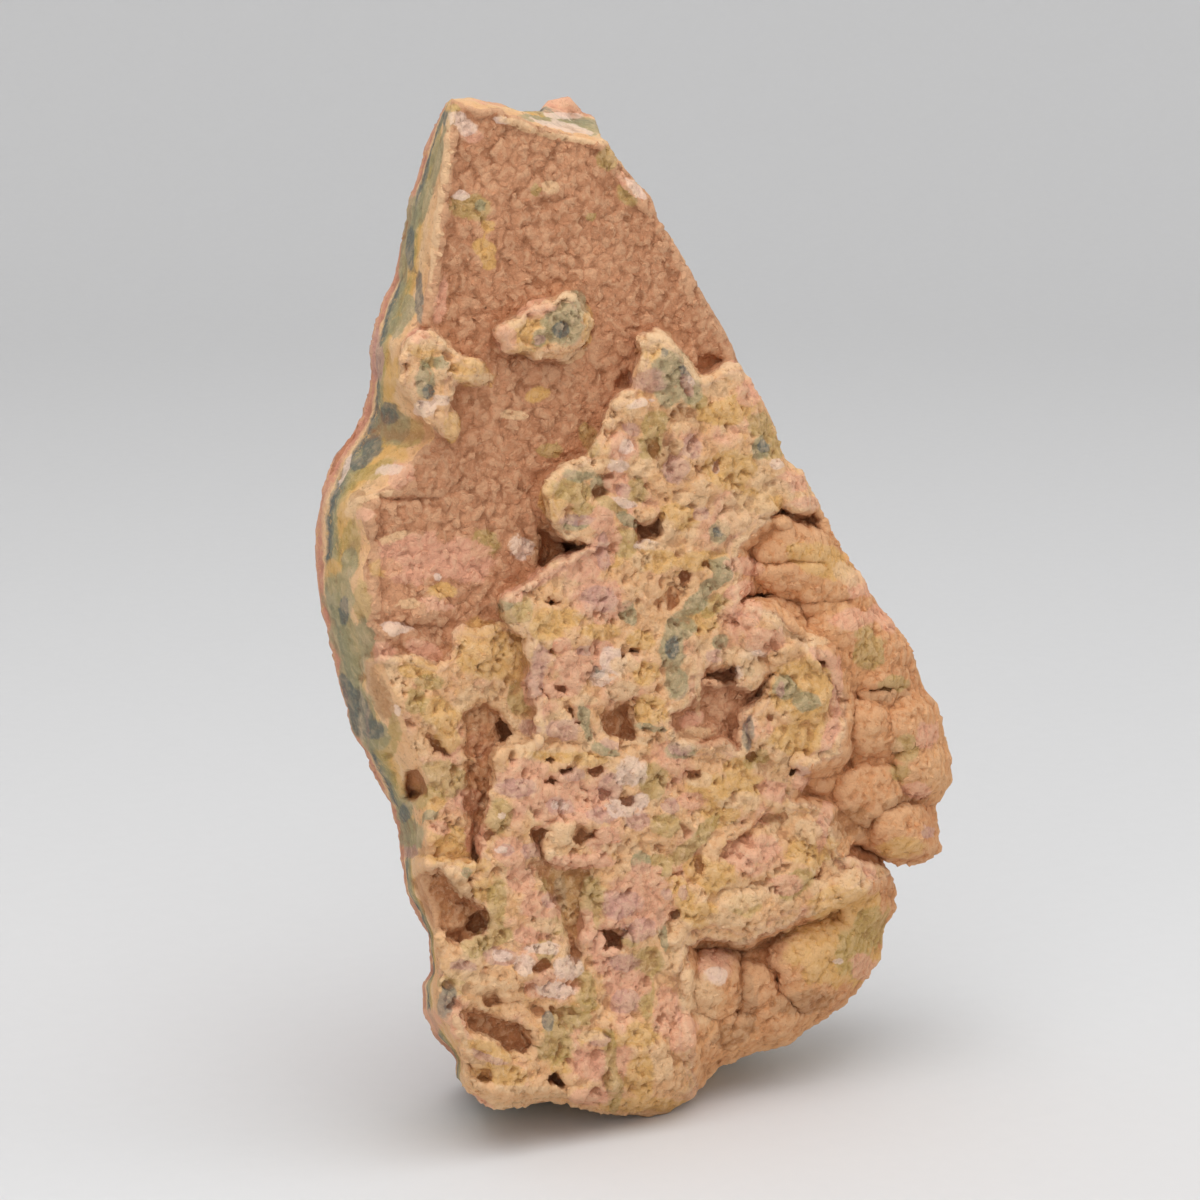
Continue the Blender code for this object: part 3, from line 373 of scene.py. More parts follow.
# Patches of minerals and stains on the visible face, among them three painted shadow strips in brown and two
# painted glints in white: centre, half length, half width and turn in degrees
PATCHES = {
    "brown": (
        (358, 497, 9, 7, 0), (375, 690, 8, 34, -20), (388, 700, 5, 28, -15), (370, 655, 7, 16, 0),
        (545, 540, 14, 26, 15), (440, 746, 14, 8, 40), (478, 785, 9, 26, 0), (500, 735, 12, 10, 0),
        (450, 895, 30, 20, 45), (478, 925, 14, 14, 0), (505, 1032, 34, 14, 20), (560, 872, 34, 12, 0),
        (578, 915, 9, 44, 0), (592, 890, 8, 16, 0), (568, 960, 6, 18, 0), (850, 822, 28, 14, -10),
        (620, 725, 22, 14, 0), (648, 528, 16, 10, 0), (666, 452, 12, 26, 0), (690, 415, 26, 9, 0),
        (545, 970, 10, 6, 0), (800, 1000, 34, 12, -10), (535, 840, 6, 14, 0), (730, 1034, 24, 10, -20),
        # (885, 694), (720, 946) and (785, 935) are painted shadow strips under ledges
        (615, 940, 14, 12, 0), (413, 782, 10, 14, 0), (745, 1000, 10, 28, 0), (885, 694, 22, 6, 0),
        (720, 946, 34, 7, 0), (785, 935, 34, 7, -22), (905, 800, 26, 8, -15), (480, 1060, 22, 4, 20),
    ),
    "ochre": (
        (487, 226, 7, 6, 0), (484, 248, 14, 9, 20), (489, 263, 9, 8, 0), (537, 394, 13, 9, -15),
        (425, 350, 16, 10, 0), (470, 372, 22, 12, 15), (452, 428, 8, 14, 0), (530, 335, 26, 18, -15),
        (585, 325, 6, 22, 0), (655, 352, 16, 10, 0), (408, 262, 5, 22, 0), (392, 380, 6, 22, 10),
        (440, 590, 15, 8, 0), (452, 110, 8, 5, 0), (383, 568, 16, 10, 0), (488, 650, 36, 28, 0),
        (512, 660, 16, 24, 0), (440, 715, 24, 14, 30), (448, 738, 14, 14, 0), (415, 668, 18, 9, 0),
        (452, 842, 22, 16, 0), (447, 858, 22, 9, 0), (475, 866, 16, 8, 0), (720, 415, 24, 12, 0),
        (740, 405, 16, 12, 0), (552, 500, 14, 18, 0), (680, 515, 20, 14, 0), (760, 500, 22, 14, 0),
        (730, 470, 26, 20, 0), (700, 560, 24, 10, -10), (655, 560, 22, 12, 0), (700, 620, 20, 14, 0),
        (560, 618, 26, 10, 0), (545, 632, 16, 10, 0), (600, 632, 22, 9, 0), (645, 672, 14, 12, 0),
        (650, 710, 18, 14, 0), (570, 757, 44, 6, 5), (710, 790, 26, 16, 0), (740, 765, 22, 10, -20),
        (745, 785, 22, 12, 0), (720, 815, 18, 12, 0), (700, 870, 16, 14, 0), (720, 880, 20, 18, 0),
        (675, 896, 18, 20, 0), (700, 915, 18, 12, 0), (800, 690, 34, 34, 0), (795, 738, 24, 16, 0),
        (820, 560, 34, 16, 20), (835, 950, 50, 34, 0), (845, 905, 34, 22, 0), (485, 890, 10, 14, 0),
        (500, 1075, 34, 10, 5), (485, 1050, 28, 9, 20), (600, 1040, 24, 12, 0), (640, 1035, 20, 12, 0),
        (560, 1062, 16, 12, 0), (645, 1104, 44, 7, 0), (640, 1075, 14, 26, 0), (335, 575, 9, 18, 0),
        (345, 520, 7, 20, 0), (430, 800, 14, 12, 0), (810, 850, 24, 16, 0), (615, 560, 10, 8, 0),
        (640, 640, 14, 10, 0), (585, 1005, 14, 8, 0), (900, 845, 22, 10, 0), (390, 458, 20, 10, -15),
    ),
    "olive": (
        (407, 433, 18, 14, 0), (378, 470, 22, 8, -20), (430, 362, 12, 8, 0), (455, 108, 6, 4, 0),
        (470, 207, 22, 14, 0), (607, 158, 10, 14, 30), (625, 195, 14, 8, 40), (534, 190, 5, 8, 0),
        (590, 217, 5, 4, 0), (590, 440, 9, 18, -20), (548, 450, 16, 7, 0), (485, 543, 16, 14, -30),
        (430, 682, 16, 7, 0), (415, 702, 10, 14, 0), (520, 700, 14, 16, 0), (570, 490, 20, 12, 0),
        (585, 510, 14, 8, 20), (655, 425, 14, 14, 0), (650, 445, 12, 14, 0), (635, 490, 14, 12, 0),
        (610, 505, 18, 5, 28), (625, 545, 12, 16, 0), (770, 445, 16, 16, 0), (760, 425, 14, 12, 0),
        (695, 400, 10, 8, 0), (515, 610, 16, 14, 0), (652, 780, 15, 18, 0), (705, 828, 22, 7, -45),
        (688, 848, 24, 8, -45), (655, 868, 16, 14, 0), (665, 825, 16, 12, 0), (795, 884, 12, 20, 50),
        (500, 815, 12, 18, 0), (495, 900, 10, 26, 0), (480, 945, 18, 10, -20), (545, 950, 10, 14, 0),
        (572, 900, 34, 36, 0), (570, 1018, 22, 12, 0), (555, 1045, 18, 20, 0), (585, 990, 12, 20, 0),
        (648, 962, 18, 16, 0), (646, 995, 8, 22, 0), (610, 1060, 8, 34, 0), (615, 1092, 8, 18, 0),
        (868, 652, 14, 20, 0), (862, 630, 10, 9, 0), (892, 684, 14, 8, 0), (905, 748, 12, 16, 0),
        (898, 772, 12, 8, 0), (870, 930, 22, 22, 0), (850, 955, 20, 20, 0), (452, 985, 14, 12, 0),
        (450, 782, 20, 16, 0), (440, 770, 18, 10, 0), (385, 745, 12, 14, 0), (395, 728, 7, 14, 0),
        (352, 545, 9, 26, 0), (362, 600, 10, 24, 0), (420, 795, 12, 14, 0), (500, 935, 14, 10, 0),
        (715, 605, 16, 10, -30), (755, 760, 14, 8, -20), (745, 905, 16, 10, 0), (630, 940, 8, 6, 0),
    ),
    "grey": (
        (425, 378, 9, 22, 0), (440, 362, 9, 8, 0), (562, 325, 22, 22, 0), (575, 305, 10, 14, 0),
        (540, 338, 8, 10, 0), (672, 368, 20, 18, 0), (668, 392, 14, 14, 0), (690, 392, 10, 14, 30),
        (408, 240, 6, 50, 5), (424, 205, 6, 30, 20), (438, 160, 5, 34, 12), (448, 122, 4, 12, 10),
        (540, 120, 24, 4, 8), (585, 124, 16, 7, 15), (594, 132, 6, 8, 30), (408, 310, 7, 16, 0),
        (396, 328, 9, 10, 0), (395, 425, 14, 18, 20), (577, 474, 16, 8, 0), (600, 485, 10, 12, 0),
        (575, 523, 13, 9, 0), (717, 532, 10, 11, 0), (628, 520, 14, 6, 28), (715, 582, 22, 7, -35),
        (695, 603, 18, 9, -45), (680, 628, 15, 16, 0), (672, 650, 15, 18, 0), (676, 682, 11, 18, 0),
        (628, 612, 8, 16, -25), (785, 688, 12, 13, 0), (804, 701, 15, 9, 0), (760, 448, 9, 12, 0),
        (340, 600, 16, 26, 0), (350, 562, 8, 16, 0), (345, 635, 14, 24, 0), (362, 640, 12, 22, 0),
        (352, 670, 12, 26, 0), (362, 710, 14, 28, 0), (376, 735, 14, 16, 0), (405, 808, 9, 14, 0),
        (413, 835, 13, 15, 0), (605, 750, 15, 5, 20), (585, 722, 6, 20, -10), (680, 750, 16, 9, 0),
        (662, 930, 5, 26, -8), (750, 672, 6, 5, 0), (720, 642, 8, 8, 0), (640, 862, 10, 12, 0),
        (560, 895, 8, 18, 0), (465, 872, 6, 5, 0), (720, 565, 12, 8, 0), (505, 605, 8, 6, 0),
        (590, 600, 5, 4, 0), (480, 205, 6, 6, 0), (430, 815, 8, 5, 0), (650, 727, 16, 4, 10),
    ),
    "blue": (
        (411, 248, 4, 24, 0), (420, 298, 4, 26, 0), (446, 118, 3, 8, 0), (428, 392, 6, 8, 0),
        (390, 414, 10, 12, 20), (372, 448, 9, 14, 35), (360, 464, 12, 6, -20), (560, 330, 8, 8, 0),
        (664, 352, 4, 5, 0), (685, 372, 5, 10, -20), (672, 648, 8, 12, 0), (748, 733, 6, 20, 8),
        (358, 712, 12, 22, 0), (372, 730, 12, 10, 0), (346, 690, 7, 16, -20), (345, 610, 5, 14, 0),
        (405, 812, 6, 10, 0), (447, 1000, 9, 17, 10), (547, 1020, 6, 10, 0), (598, 672, 8, 7, 0),
        (762, 446, 6, 7, 0), (717, 530, 6, 6, 0), (575, 523, 6, 4, 0), (410, 790, 6, 6, 0),
    ),
    "pink": (
        (540, 308, 24, 8, -20), (506, 338, 12, 12, 30), (420, 338, 12, 8, 0), (470, 136, 12, 7, 0),
        (500, 103, 30, 4, 8), (562, 106, 20, 11, 0), (440, 300, 6, 26, 10), (400, 475, 14, 14, 0),
        (410, 560, 32, 26, 0), (460, 560, 30, 20, 0), (420, 650, 20, 9, 20), (385, 652, 12, 10, 0),
        (436, 604, 20, 5, 10), (570, 560, 18, 7, -28), (540, 578, 18, 8, -30), (515, 594, 14, 7, -25),
        (622, 445, 14, 18, 0), (616, 482, 14, 14, 0), (600, 520, 14, 12, 20), (606, 546, 14, 20, 0),
        (585, 570, 20, 12, -20), (600, 598, 28, 20, 0), (575, 668, 20, 18, 0), (555, 690, 20, 9, 0),
        (602, 655, 16, 14, 0), (530, 690, 8, 16, 0), (740, 370, 14, 10, 30), (748, 395, 12, 12, 0),
        (790, 482, 18, 9, 20), (805, 503, 12, 6, 0), (745, 566, 20, 8, 10), (735, 592, 14, 8, -20),
        (742, 615, 18, 16, 0), (765, 640, 20, 14, 0), (560, 800, 44, 26, 0), (520, 775, 26, 16, 0),
        (510, 850, 18, 14, 0), (585, 862, 34, 7, 0), (605, 840, 18, 14, 0), (690, 800, 18, 9, 0),
        (750, 850, 28, 14, -10), (640, 900, 34, 34, 0), (605, 950, 14, 24, 0), (585, 925, 8, 20, 0),
        (625, 985, 24, 16, 0), (540, 905, 22, 14, 20), (520, 880, 14, 16, 0), (530, 935, 20, 9, 0),
        (550, 985, 26, 16, 0), (590, 1062, 22, 18, 0), (680, 1030, 14, 24, 0), (665, 1012, 12, 28, 0),
        (836, 690, 5, 34, 0), (822, 658, 16, 6, 35), (830, 735, 6, 18, 20), (823, 825, 6, 24, 10),
        (775, 790, 16, 10, 20), (800, 782, 8, 8, 0), (860, 584, 14, 14, 0), (882, 618, 18, 10, 40),
        (925, 735, 12, 16, 0), (915, 790, 16, 8, 0), (850, 620, 22, 10, 0), (785, 885, 18, 10, 0),
        (715, 965, 16, 16, 0), (430, 1022, 12, 14, 0), (470, 1098, 24, 6, 15), (590, 1095, 20, 8, 0),
        (470, 800, 14, 12, 0), (475, 840, 12, 18, 0), (440, 828, 10, 7, 0), (690, 720, 14, 8, -20),
        (365, 515, 10, 6, 0), (860, 965, 14, 12, 0), (632, 188, 18, 5, 40), (560, 645, 10, 8, 0),
    ),
    "lilac": (
        (540, 340, 7, 6, 0), (648, 380, 16, 12, 0), (630, 430, 10, 8, 0), (690, 445, 10, 14, 0),
        (676, 470, 14, 12, 0), (686, 384, 5, 12, -20), (622, 490, 8, 8, 0), (604, 555, 7, 18, 0),
        (575, 520, 16, 6, 0), (600, 598, 18, 14, 0), (585, 650, 8, 6, 0), (540, 655, 9, 12, 0),
        (562, 730, 18, 12, 0), (535, 682, 8, 14, 0), (530, 728, 12, 8, 0), (715, 656, 10, 7, 0),
        (610, 787, 12, 16, 0), (515, 788, 22, 10, 0), (560, 806, 16, 9, 0), (600, 815, 16, 8, 0),
        (636, 822, 14, 8, 0), (620, 905, 20, 14, 0), (640, 930, 16, 12, 0), (625, 962, 14, 9, 0),
        (625, 1000, 14, 12, 0), (500, 956, 16, 8, 10), (485, 1056, 24, 4, 20), (610, 745, 12, 4, 20),
        (665, 893, 6, 6, 0), (683, 892, 6, 7, 0), (670, 806, 9, 8, 0), (925, 832, 8, 6, 0),
        (377, 358, 6, 26, 0), (412, 852, 7, 7, 0), (530, 850, 10, 8, 0), (680, 748, 12, 8, 0),
        (575, 775, 14, 6, 0), (505, 850, 8, 6, 0), (550, 900, 10, 8, 0), (460, 965, 12, 6, 0),
        (600, 1040, 10, 6, 0), (700, 512, 8, 8, 0), (780, 690, 4, 10, 0), (800, 770, 9, 5, 0),
    ),
    "white": (
        (458, 118, 9, 7, 0), (466, 129, 10, 8, 0), (565, 128, 32, 4, 12), (560, 116, 24, 3, 0),
        (461, 195, 9, 6, 0), (636, 190, 14, 4, 45), (425, 408, 12, 8, 0), (440, 400, 8, 6, 0),
        # (436, 577) and (690, 381) are painted glints
        (520, 548, 12, 12, -30), (396, 628, 14, 6, 0), (436, 577, 5, 4, 0), (640, 403, 16, 4, -10),
        (618, 466, 12, 7, 0), (625, 446, 7, 9, 0), (622, 502, 14, 4, 15), (690, 381, 3, 8, -30),
        (612, 660, 12, 14, 0), (600, 680, 10, 8, 0), (648, 545, 16, 4, 0), (630, 772, 15, 14, 0),
        (620, 808, 18, 9, 0), (636, 800, 12, 9, 0), (568, 968, 13, 14, 0), (545, 948, 20, 6, 0),
        (525, 965, 10, 10, 0), (555, 990, 18, 8, 0), (398, 710, 3, 6, -20), (346, 470, 3, 16, 20),
        (752, 655, 14, 6, 0), (740, 672, 5, 8, 0), (500, 955, 10, 5, 10), (500, 815, 4, 3, 0),
        (835, 960, 6, 4, 0), (390, 470, 14, 6, -10), (500, 120, 8, 3, 10), (716, 468, 4, 6, 0),
        (560, 806, 10, 5, 0), (500, 850, 6, 4, 0), (715, 975, 10, 8, 0), (775, 465, 8, 5, 30),
    ),
    "cream": (
        (655, 342, 18, 8, -20), (668, 345, 14, 5, 40), (690, 368, 16, 4, 55), (560, 300, 16, 5, -10),
        (575, 355, 20, 4, -30), (520, 322, 14, 5, -30), (430, 345, 16, 8, 0), (480, 378, 12, 5, 0),
        (446, 160, 3, 44, 5), (436, 240, 3, 50, 6), (600, 140, 8, 5, 30), (560, 137, 34, 3, 10),
        (520, 125, 20, 3, 20), (640, 470, 14, 8, -20), (590, 465, 20, 5, -10), (570, 466, 14, 4, 0),
        (735, 372, 14, 8, 20), (715, 388, 16, 8, 0), (745, 510, 28, 16, 0), (690, 500, 18, 9, 0),
        (770, 485, 22, 10, 10), (735, 525, 20, 9, 0), (668, 532, 8, 14, 0), (655, 546, 14, 4, 0),
        (697, 690, 3, 26, 0), (735, 655, 16, 9, 0), (752, 668, 13, 14, 0), (620, 690, 18, 9, 0),
        (625, 665, 16, 8, 0), (690, 736, 22, 8, -10), (515, 745, 22, 5, 0), (510, 640, 4, 4, 0),
        (560, 833, 14, 12, 0), (620, 848, 20, 6, 0), (700, 780, 14, 8, 0), (808, 831, 14, 12, 0),
        (740, 895, 24, 14, 0), (725, 920, 16, 8, 0), (760, 890, 14, 9, 0), (680, 945, 7, 24, 20),
        (700, 1000, 18, 22, 0), (690, 985, 12, 14, 0), (465, 975, 30, 5, 8), (480, 990, 30, 5, 8),
        (462, 1035, 4, 26, -20), (520, 1088, 30, 4, 0), (440, 868, 12, 5, 0), (545, 925, 16, 8, 0),
        (375, 496, 22, 3, -15), (350, 512, 8, 5, 30), (410, 604, 12, 6, 0), (512, 415, 12, 5, 0),
        (548, 187, 9, 7, 0), (395, 536, 16, 5, -20), (585, 700, 12, 6, 0), (640, 560, 12, 8, 0),
        (845, 575, 18, 9, 35), (805, 640, 20, 5, 10), (760, 768, 10, 5, 0), (735, 800, 20, 6, -20),
        (590, 1035, 16, 5, 0), (480, 770, 8, 3, 0), (850, 880, 16, 8, 0), (895, 745, 6, 8, 0),
        (560, 750, 24, 3, 0), (640, 740, 12, 4, 0), (500, 985, 14, 4, 0), (660, 1060, 10, 20, 0),
    ),
}
KINDS = tuple(PATCHES)
PATCH_REACH = 2.0
STAIN_RAGGED = {
    "brown": 0.9, "ochre": 0.8, "olive": 0.9, "grey": 0.8, "blue": 0.7, "pink": 1.0, "lilac": 1.0,
    "white": 1.0, "cream": 0.9,
}
STAIN_STRENGTH = {
    "brown": 0.62, "ochre": 0.85, "olive": 0.75, "grey": 0.85, "blue": 0.85, "pink": 0.8, "lilac": 0.75,
    "white": 0.8, "cream": 0.8,
}

# How soft the borders between the parts of the surface are, in pixels and in metres
HOLE_OUTER, HOLE_SLOPE = 1.25, 0.5
DEEPEST_PIT = 4.0
SHEET_BLEND = 2.0 * MILLIMETRE
FLANK_BLEND = 12.0
LAYER_BLEND = 3.0
RIDGE_BLEND = 5.0
RIM_REACH = 30.0
FACING_BLEND = 0.4
LOBE_BARE = 0.25

# Weathering, hollows and small growths
WEATHERING_INPUTS = (
    "Druse Size", "Druse Rise", "Torn Size", "Torn Rise", "Lobe Size", "Lobe Rise", "Side Size",
    "Side Rise", "Skin Size", "Skin Rise",
)
CELL_REACH = 0.85
SHAVE_TURNS = 10
SPIKE_RISE = 0.2 * MILLIMETRE
FINE_HOLLOW_TURNS = 3
WIDE_HOLLOW_TURNS = 30
MOST_PER_AREA = 4.0e6
NUB_SINK = 0.25
CRUMB_SINK = 0.3

# Stage: the floor's facets, and the lights with place, size and power
DISH_STEPS = 12
DISH_SPOKES = 96
SENSOR_WIDTH = 36.0
PICTURE_WIDTH = 1200
LIGHTS = (
    ("top_light", (-0.25, -0.35, 1.10), 1.0, 7.8),
    ("left_light", (-0.80, -0.90, 0.60), 0.8, 2.7),
    ("right_light", (1.00, -0.60, 0.70), 1.0, 2.2),
)


def sight_axes():
    """Unit vectors of a sight line: to the viewer, to the right and up."""
    back = np.array((
        math.sin(SIGHT_AZIMUTH) * math.cos(SIGHT_ELEVATION),
        -math.cos(SIGHT_AZIMUTH) * math.cos(SIGHT_ELEVATION),
        math.sin(SIGHT_ELEVATION),
    ))
    right = np.array((math.cos(SIGHT_AZIMUTH), math.sin(SIGHT_AZIMUTH), 0.0))
    return back, right, np.cross(back, right)


BACK, RIGHT, UP = sight_axes()


def place(u, v, near):
    """Point of the sight line of a pixel, near metres in front of the aim point."""
    scale = PIXEL * (1.0 - near / SIGHT_DISTANCE)
    across = ((u - AIM_U) * scale)[:, None] * RIGHT
    upward = ((AIM_V - v) * scale)[:, None] * UP
    return AIM_POINT + across + upward + near[:, None] * BACK


def near_of_plane(u, v, axis, position):
    """How near the sight line of a pixel crosses the plane axis = position."""
    sideways = (u - AIM_U) * PIXEL * RIGHT[axis] + (AIM_V - v) * PIXEL * UP[axis]
    return (position - AIM_POINT[axis] - sideways) / (BACK[axis] - sideways / SIGHT_DISTANCE)


def smooth(x):
    """Smooth step from 0 to 1."""
    x = np.clip(x, 0.0, 1.0)
    return x * x * (3.0 - 2.0 * x)


def along(points, v):
    """The path's u at each v, for a path that runs down."""
    path = sorted(points, key=lambda point: point[1])
    return np.interp(v, [point[1] for point in path], [point[0] for point in path])


def table(x, pairs):
    """Value at x of a table of pairs, in a straight line between them."""
    return np.interp(x, [pair[0] for pair in pairs], [pair[1] for pair in pairs])


def path_distance(u, v, points):
    """Distance in pixels to a path."""
    nearest = np.full(u.shape, np.inf)
    for (u0, v0), (u1, v1) in zip(points[:-1], points[1:]):
        du, dv = u1 - u0, v1 - v0
        t = np.clip(((u - u0) * du + (v - v0) * dv) / (du * du + dv * dv), 0.0, 1.0)
        nearest = np.minimum(nearest, np.hypot(u - u0 - t * du, v - v0 - t * dv))
    return nearest


def outline_distance(u, v, outline):
    """Distance in pixels to a closed outline, positive inside."""
    inside = np.zeros(u.shape, bool)
    for (u0, v0), (u1, v1) in zip(outline, outline[1:] + outline[:1]):
        if v0 == v1:
            continue
        crosses = (v0 > v) != (v1 > v)
        inside ^= crosses & (u < u0 + (v - v0) * (u1 - u0) / (v1 - v0))
    distance = path_distance(u, v, outline + outline[:1])
    return np.where(inside, distance, -distance)


def fractal(points, size, octaves):
    """Fractal noise of about -1 to 1 at each point."""
    scaled = (points / size).tolist()
    return np.array([noise.fractal(point, 1.0, 2.0, octaves) for point in scaled])


def wandering(u, v):
    """The pixels pushed about by noise, so that outlines break as stone does."""
    flat = np.column_stack((u, v, np.zeros(len(u))))
    du = WANDER * fractal(flat, WANDER_SIZE, 3)
    dv = WANDER * fractal(flat + OTHER_NOISE, WANDER_SIZE, 3)
    return u + du, v + dv


def layered_relief(u, v):
    """Heights of the broken layers and the flanks over the druse face."""
    height = np.zeros(u.shape)
    for outline, level, edge in LAYERS:
        cover = smooth(outline_distance(u, v, outline) / edge)
        height += cover * (level - height)
    for outline, step, edge in STEPS:
        height += step * smooth(outline_distance(u, v, outline) / edge)
    flat = np.column_stack((u, v, np.zeros(len(u))))
    return height + TORN_RISE * smooth(height / TORN_ABOVE) * fractal(flat, TORN_SIZE, 3)


def rounded_relief(u, v):
    """Heights added by domes, which meet in creases, and by wide swells."""
    height = np.zeros(u.shape)
    for centre_u, centre_v, radius, rise in LOBES:
        distance = np.hypot(u - centre_u, v - centre_v) / radius
        height = np.maximum(height, rise * np.sqrt(np.clip(1.0 - distance ** 2, 0.0, 1.0)))
    for centre_u, centre_v, radius, rise in SWELLS:
        height += rise * smooth(1.0 - np.hypot(u - centre_u, v - centre_v) / radius)
    return height


def carved_relief(u, v):
    """Heights taken away by pockets, ledges and creases, and added by rims."""
    height = np.zeros(u.shape)
    for outline, depth, edge in POCKETS:
        height -= depth * smooth(POCKET_LAP + outline_distance(u, v, outline) / edge)
    for lip, depth, reach in LEDGES:
        below = v - table(u, lip)
        inward = np.minimum(u - lip[0][0], lip[-1][0] - u)
        ends = smooth(0.5 + inward / (2.0 * LEDGE_END))
        fade = np.clip(1.0 - below / reach, 0.0, 1.0) ** 2
        height -= depth * ends * smooth(0.5 + below / LEDGE_EDGE) * fade
    for path, width, depth in CREASES:
        height -= depth * smooth(1.0 - path_distance(u, v, path) / width)
    for path, width, rise in RIMS:
        height += rise * smooth(1.0 - path_distance(u, v, path) / width)
    for hole in HOLES:
        height -= hole[5] * smooth((HOLE_OUTER - ellipse_radius(u, v, hole)) / HOLE_SLOPE)
    return height


def back_depth(points):
    """The y of the skin behind the points: a thin slab above and a thick foot, thinner at its left."""
    left = smooth((points[:, 0] - LEFT_THIN_X) / LEFT_THIN_WIDTH)
    thickness = SLAB_THICKNESS + (table(points[:, 2], BACK_PROFILE) - SLAB_THICKNESS) * left
    flat = points * np.array((1.0, 0.0, 1.0))
    return AIM_POINT[1] + thickness + BACK_SWELL * fractal(flat, BACK_SWELL_SIZE, 2)


def hidden_near(u, v):
    """How near the sight lines leave the stone through its back or its base."""
    near = near_of_plane(u, v, 1, AIM_POINT[1] + MIDDLE_THICKNESS)
    for _ in range(BACK_STEPS):
        near = near_of_plane(u, v, 1, back_depth(place(u, v, near)))
    return np.maximum(near, near_of_plane(u, v, 2, -BASE_SINK))


def stone_outline():
    """The whole outline, anticlockwise from the top."""
    return LEFT_EDGE + FOOT_EDGE + RIGHT_EDGE + TOP_EDGE


def visible_near(u, v, edge_distance):
    """How near the sight lines meet the stone: druse face, broken side and top, and their relief."""
    front = near_of_plane(u, v, 1, AIM_POINT[1])
    ridge_u = along(LEFT_RIDGE, v)
    left_u = along(LEFT_EDGE + FOOT_EDGE[:1], v)
    at_ridge = near_of_plane(ridge_u, v, 1, AIM_POINT[1])
    at_edge = hidden_near(left_u, v)
    share = np.clip((u - left_u) / np.maximum(ridge_u - left_u, 1.0), 0.0, 1.0)
    side = at_edge + (at_ridge - at_edge) * share + SIDE_BULGE * np.sin(math.pi * share)
    near = np.where(u < ridge_u, np.minimum(front, side), front)
    near -= TOP_SLOPE * PIXEL * np.clip(table(u, TOP_RIM) - v, 0.0, TOP_DEEPEST)
    torn_u, torn_v = wandering(u, v)
    relief = layered_relief(torn_u, torn_v) + rounded_relief(u, v) + carved_relief(torn_u, torn_v)
    fade = EDGE_RELIEF + (1.0 - EDGE_RELIEF) * smooth(edge_distance / EDGE_FADE)
    radius = by_edge(u, v, SIDE_RADIUS, FOOT_RADIUS)
    inset = np.clip(1.0 - right_distance(u, v) / radius, 0.0, 1.0)
    return near + MILLIMETRE * relief * fade - EDGE_FALL * radius * PIXEL * inset ** 2


def right_distance(u, v):
    """Distance in pixels to the foot and the right edge, where the hidden side begins."""
    return path_distance(u, v, FOOT_EDGE + RIGHT_EDGE)


def by_edge(u, v, side_values, foot_values):
    """A value that is given down the right edge by v, and along the foot by u."""
    side = table(v, side_values)
    return side + (table(u, foot_values) - side) * smooth((v - FOOT_TOP) / FOOT_TURN)


def hidden_side_near(u, v):
    """How near the sight lines leave through the hidden right side, which runs back from the outline."""
    slope = by_edge(u, v, SIDE_SLOPE, FOOT_SLOPE)
    fall = EDGE_FALL * by_edge(u, v, SIDE_RADIUS, FOOT_RADIUS) * PIXEL
    return near_of_plane(u, v, 1, AIM_POINT[1]) - fall - slope * right_distance(u, v) * PIXEL


def outline_grid():
    """Grid of pixels over the stone, its outermost ones pulled in to the outline, and their inset."""
    outline = stone_outline()
    low_u, low_v = np.min(outline, axis=0) - SHEET_STEP
    high_u, high_v = np.max(outline, axis=0) + SHEET_STEP
    us = np.arange(low_u, high_u + SHEET_STEP, SHEET_STEP)
    vs = np.arange(low_v, high_v + SHEET_STEP, SHEET_STEP)
    u, v = np.meshgrid(us, vs)
    inset = outline_distance(u.ravel(), v.ravel(), outline).reshape(u.shape) + OUTLINE_GROWTH
    inward_v, inward_u = np.gradient(inset, SHEET_STEP)
    outside = np.clip(-inset, 0.0, None)
    return u + outside * inward_u, v + outside * inward_v, inset


def sheet_mesh():
    """A closed mesh from the visible and the hidden sheet, joined by a wall along the outline."""
    grid_u, grid_v, inset = outline_grid()
    kept = inset > -SHEET_STEP
    u, v = grid_u[kept], grid_v[kept]
    front = visible_near(u, v, np.clip(inset[kept], 0.0, None))
    knob = smooth(1.0 - np.hypot(u - KNOB_U, v - KNOB_V) / KNOB_REACH)
    rim = THINNEST_RIM + KNOB_THICKNESS * knob
    hidden = np.maximum(hidden_near(u, v), hidden_side_near(u, v))
    hidden = np.minimum(hidden, front - rim)
    points = np.vstack((place(u, v, front), place(u, v, hidden)))
    number = np.full(grid_u.shape, -1)
    number[kept] = np.arange(len(u))
    mesh = bpy.data.meshes.new("stone_sheets")
    mesh.from_pydata(points.tolist(), [], sheet_faces(number, len(u)))
    return mesh


def sheet_faces(number, count):
    """Faces of the two sheets and of the wall between their edges; number is -1 off the stone."""
    a, b = number[:-1, :-1], number[:-1, 1:]
    c, d = number[1:, 1:], number[1:, :-1]
    cells = (a >= 0) & (b >= 0) & (c >= 0) & (d >= 0)
    front = np.column_stack((a[cells], d[cells], c[cells], b[cells]))
    faces = front.tolist() + (front[:, ::-1] + count).tolist()
    sides = {}
    for face in front.tolist():
        for start, end in zip(face, face[1:] + face[:1]):
            if (end, start) in sides:
                del sides[(end, start)]
            else:
                sides[(start, end)] = True
    for start, end in sides:
        faces.append((end, start, start + count, end + count))
    return faces


def applied(stone):
    """Replace the object's mesh by the mesh that its modifiers make, and drop them."""
    bpy.context.view_layer.update()
    graph = bpy.context.evaluated_depsgraph_get()
    mesh = bpy.data.meshes.new_from_object(stone.evaluated_get(graph))
    stone.modifiers.clear()
    stone.data = mesh


def remesh(stone, size):
    """One even closed skin around everything that the mesh encloses."""
    modifier = stone.modifiers.new("even_skin", "REMESH")
    modifier.mode = "VOXEL"
    modifier.voxel_size = size
    modifier.use_smooth_shade = True
    applied(stone)


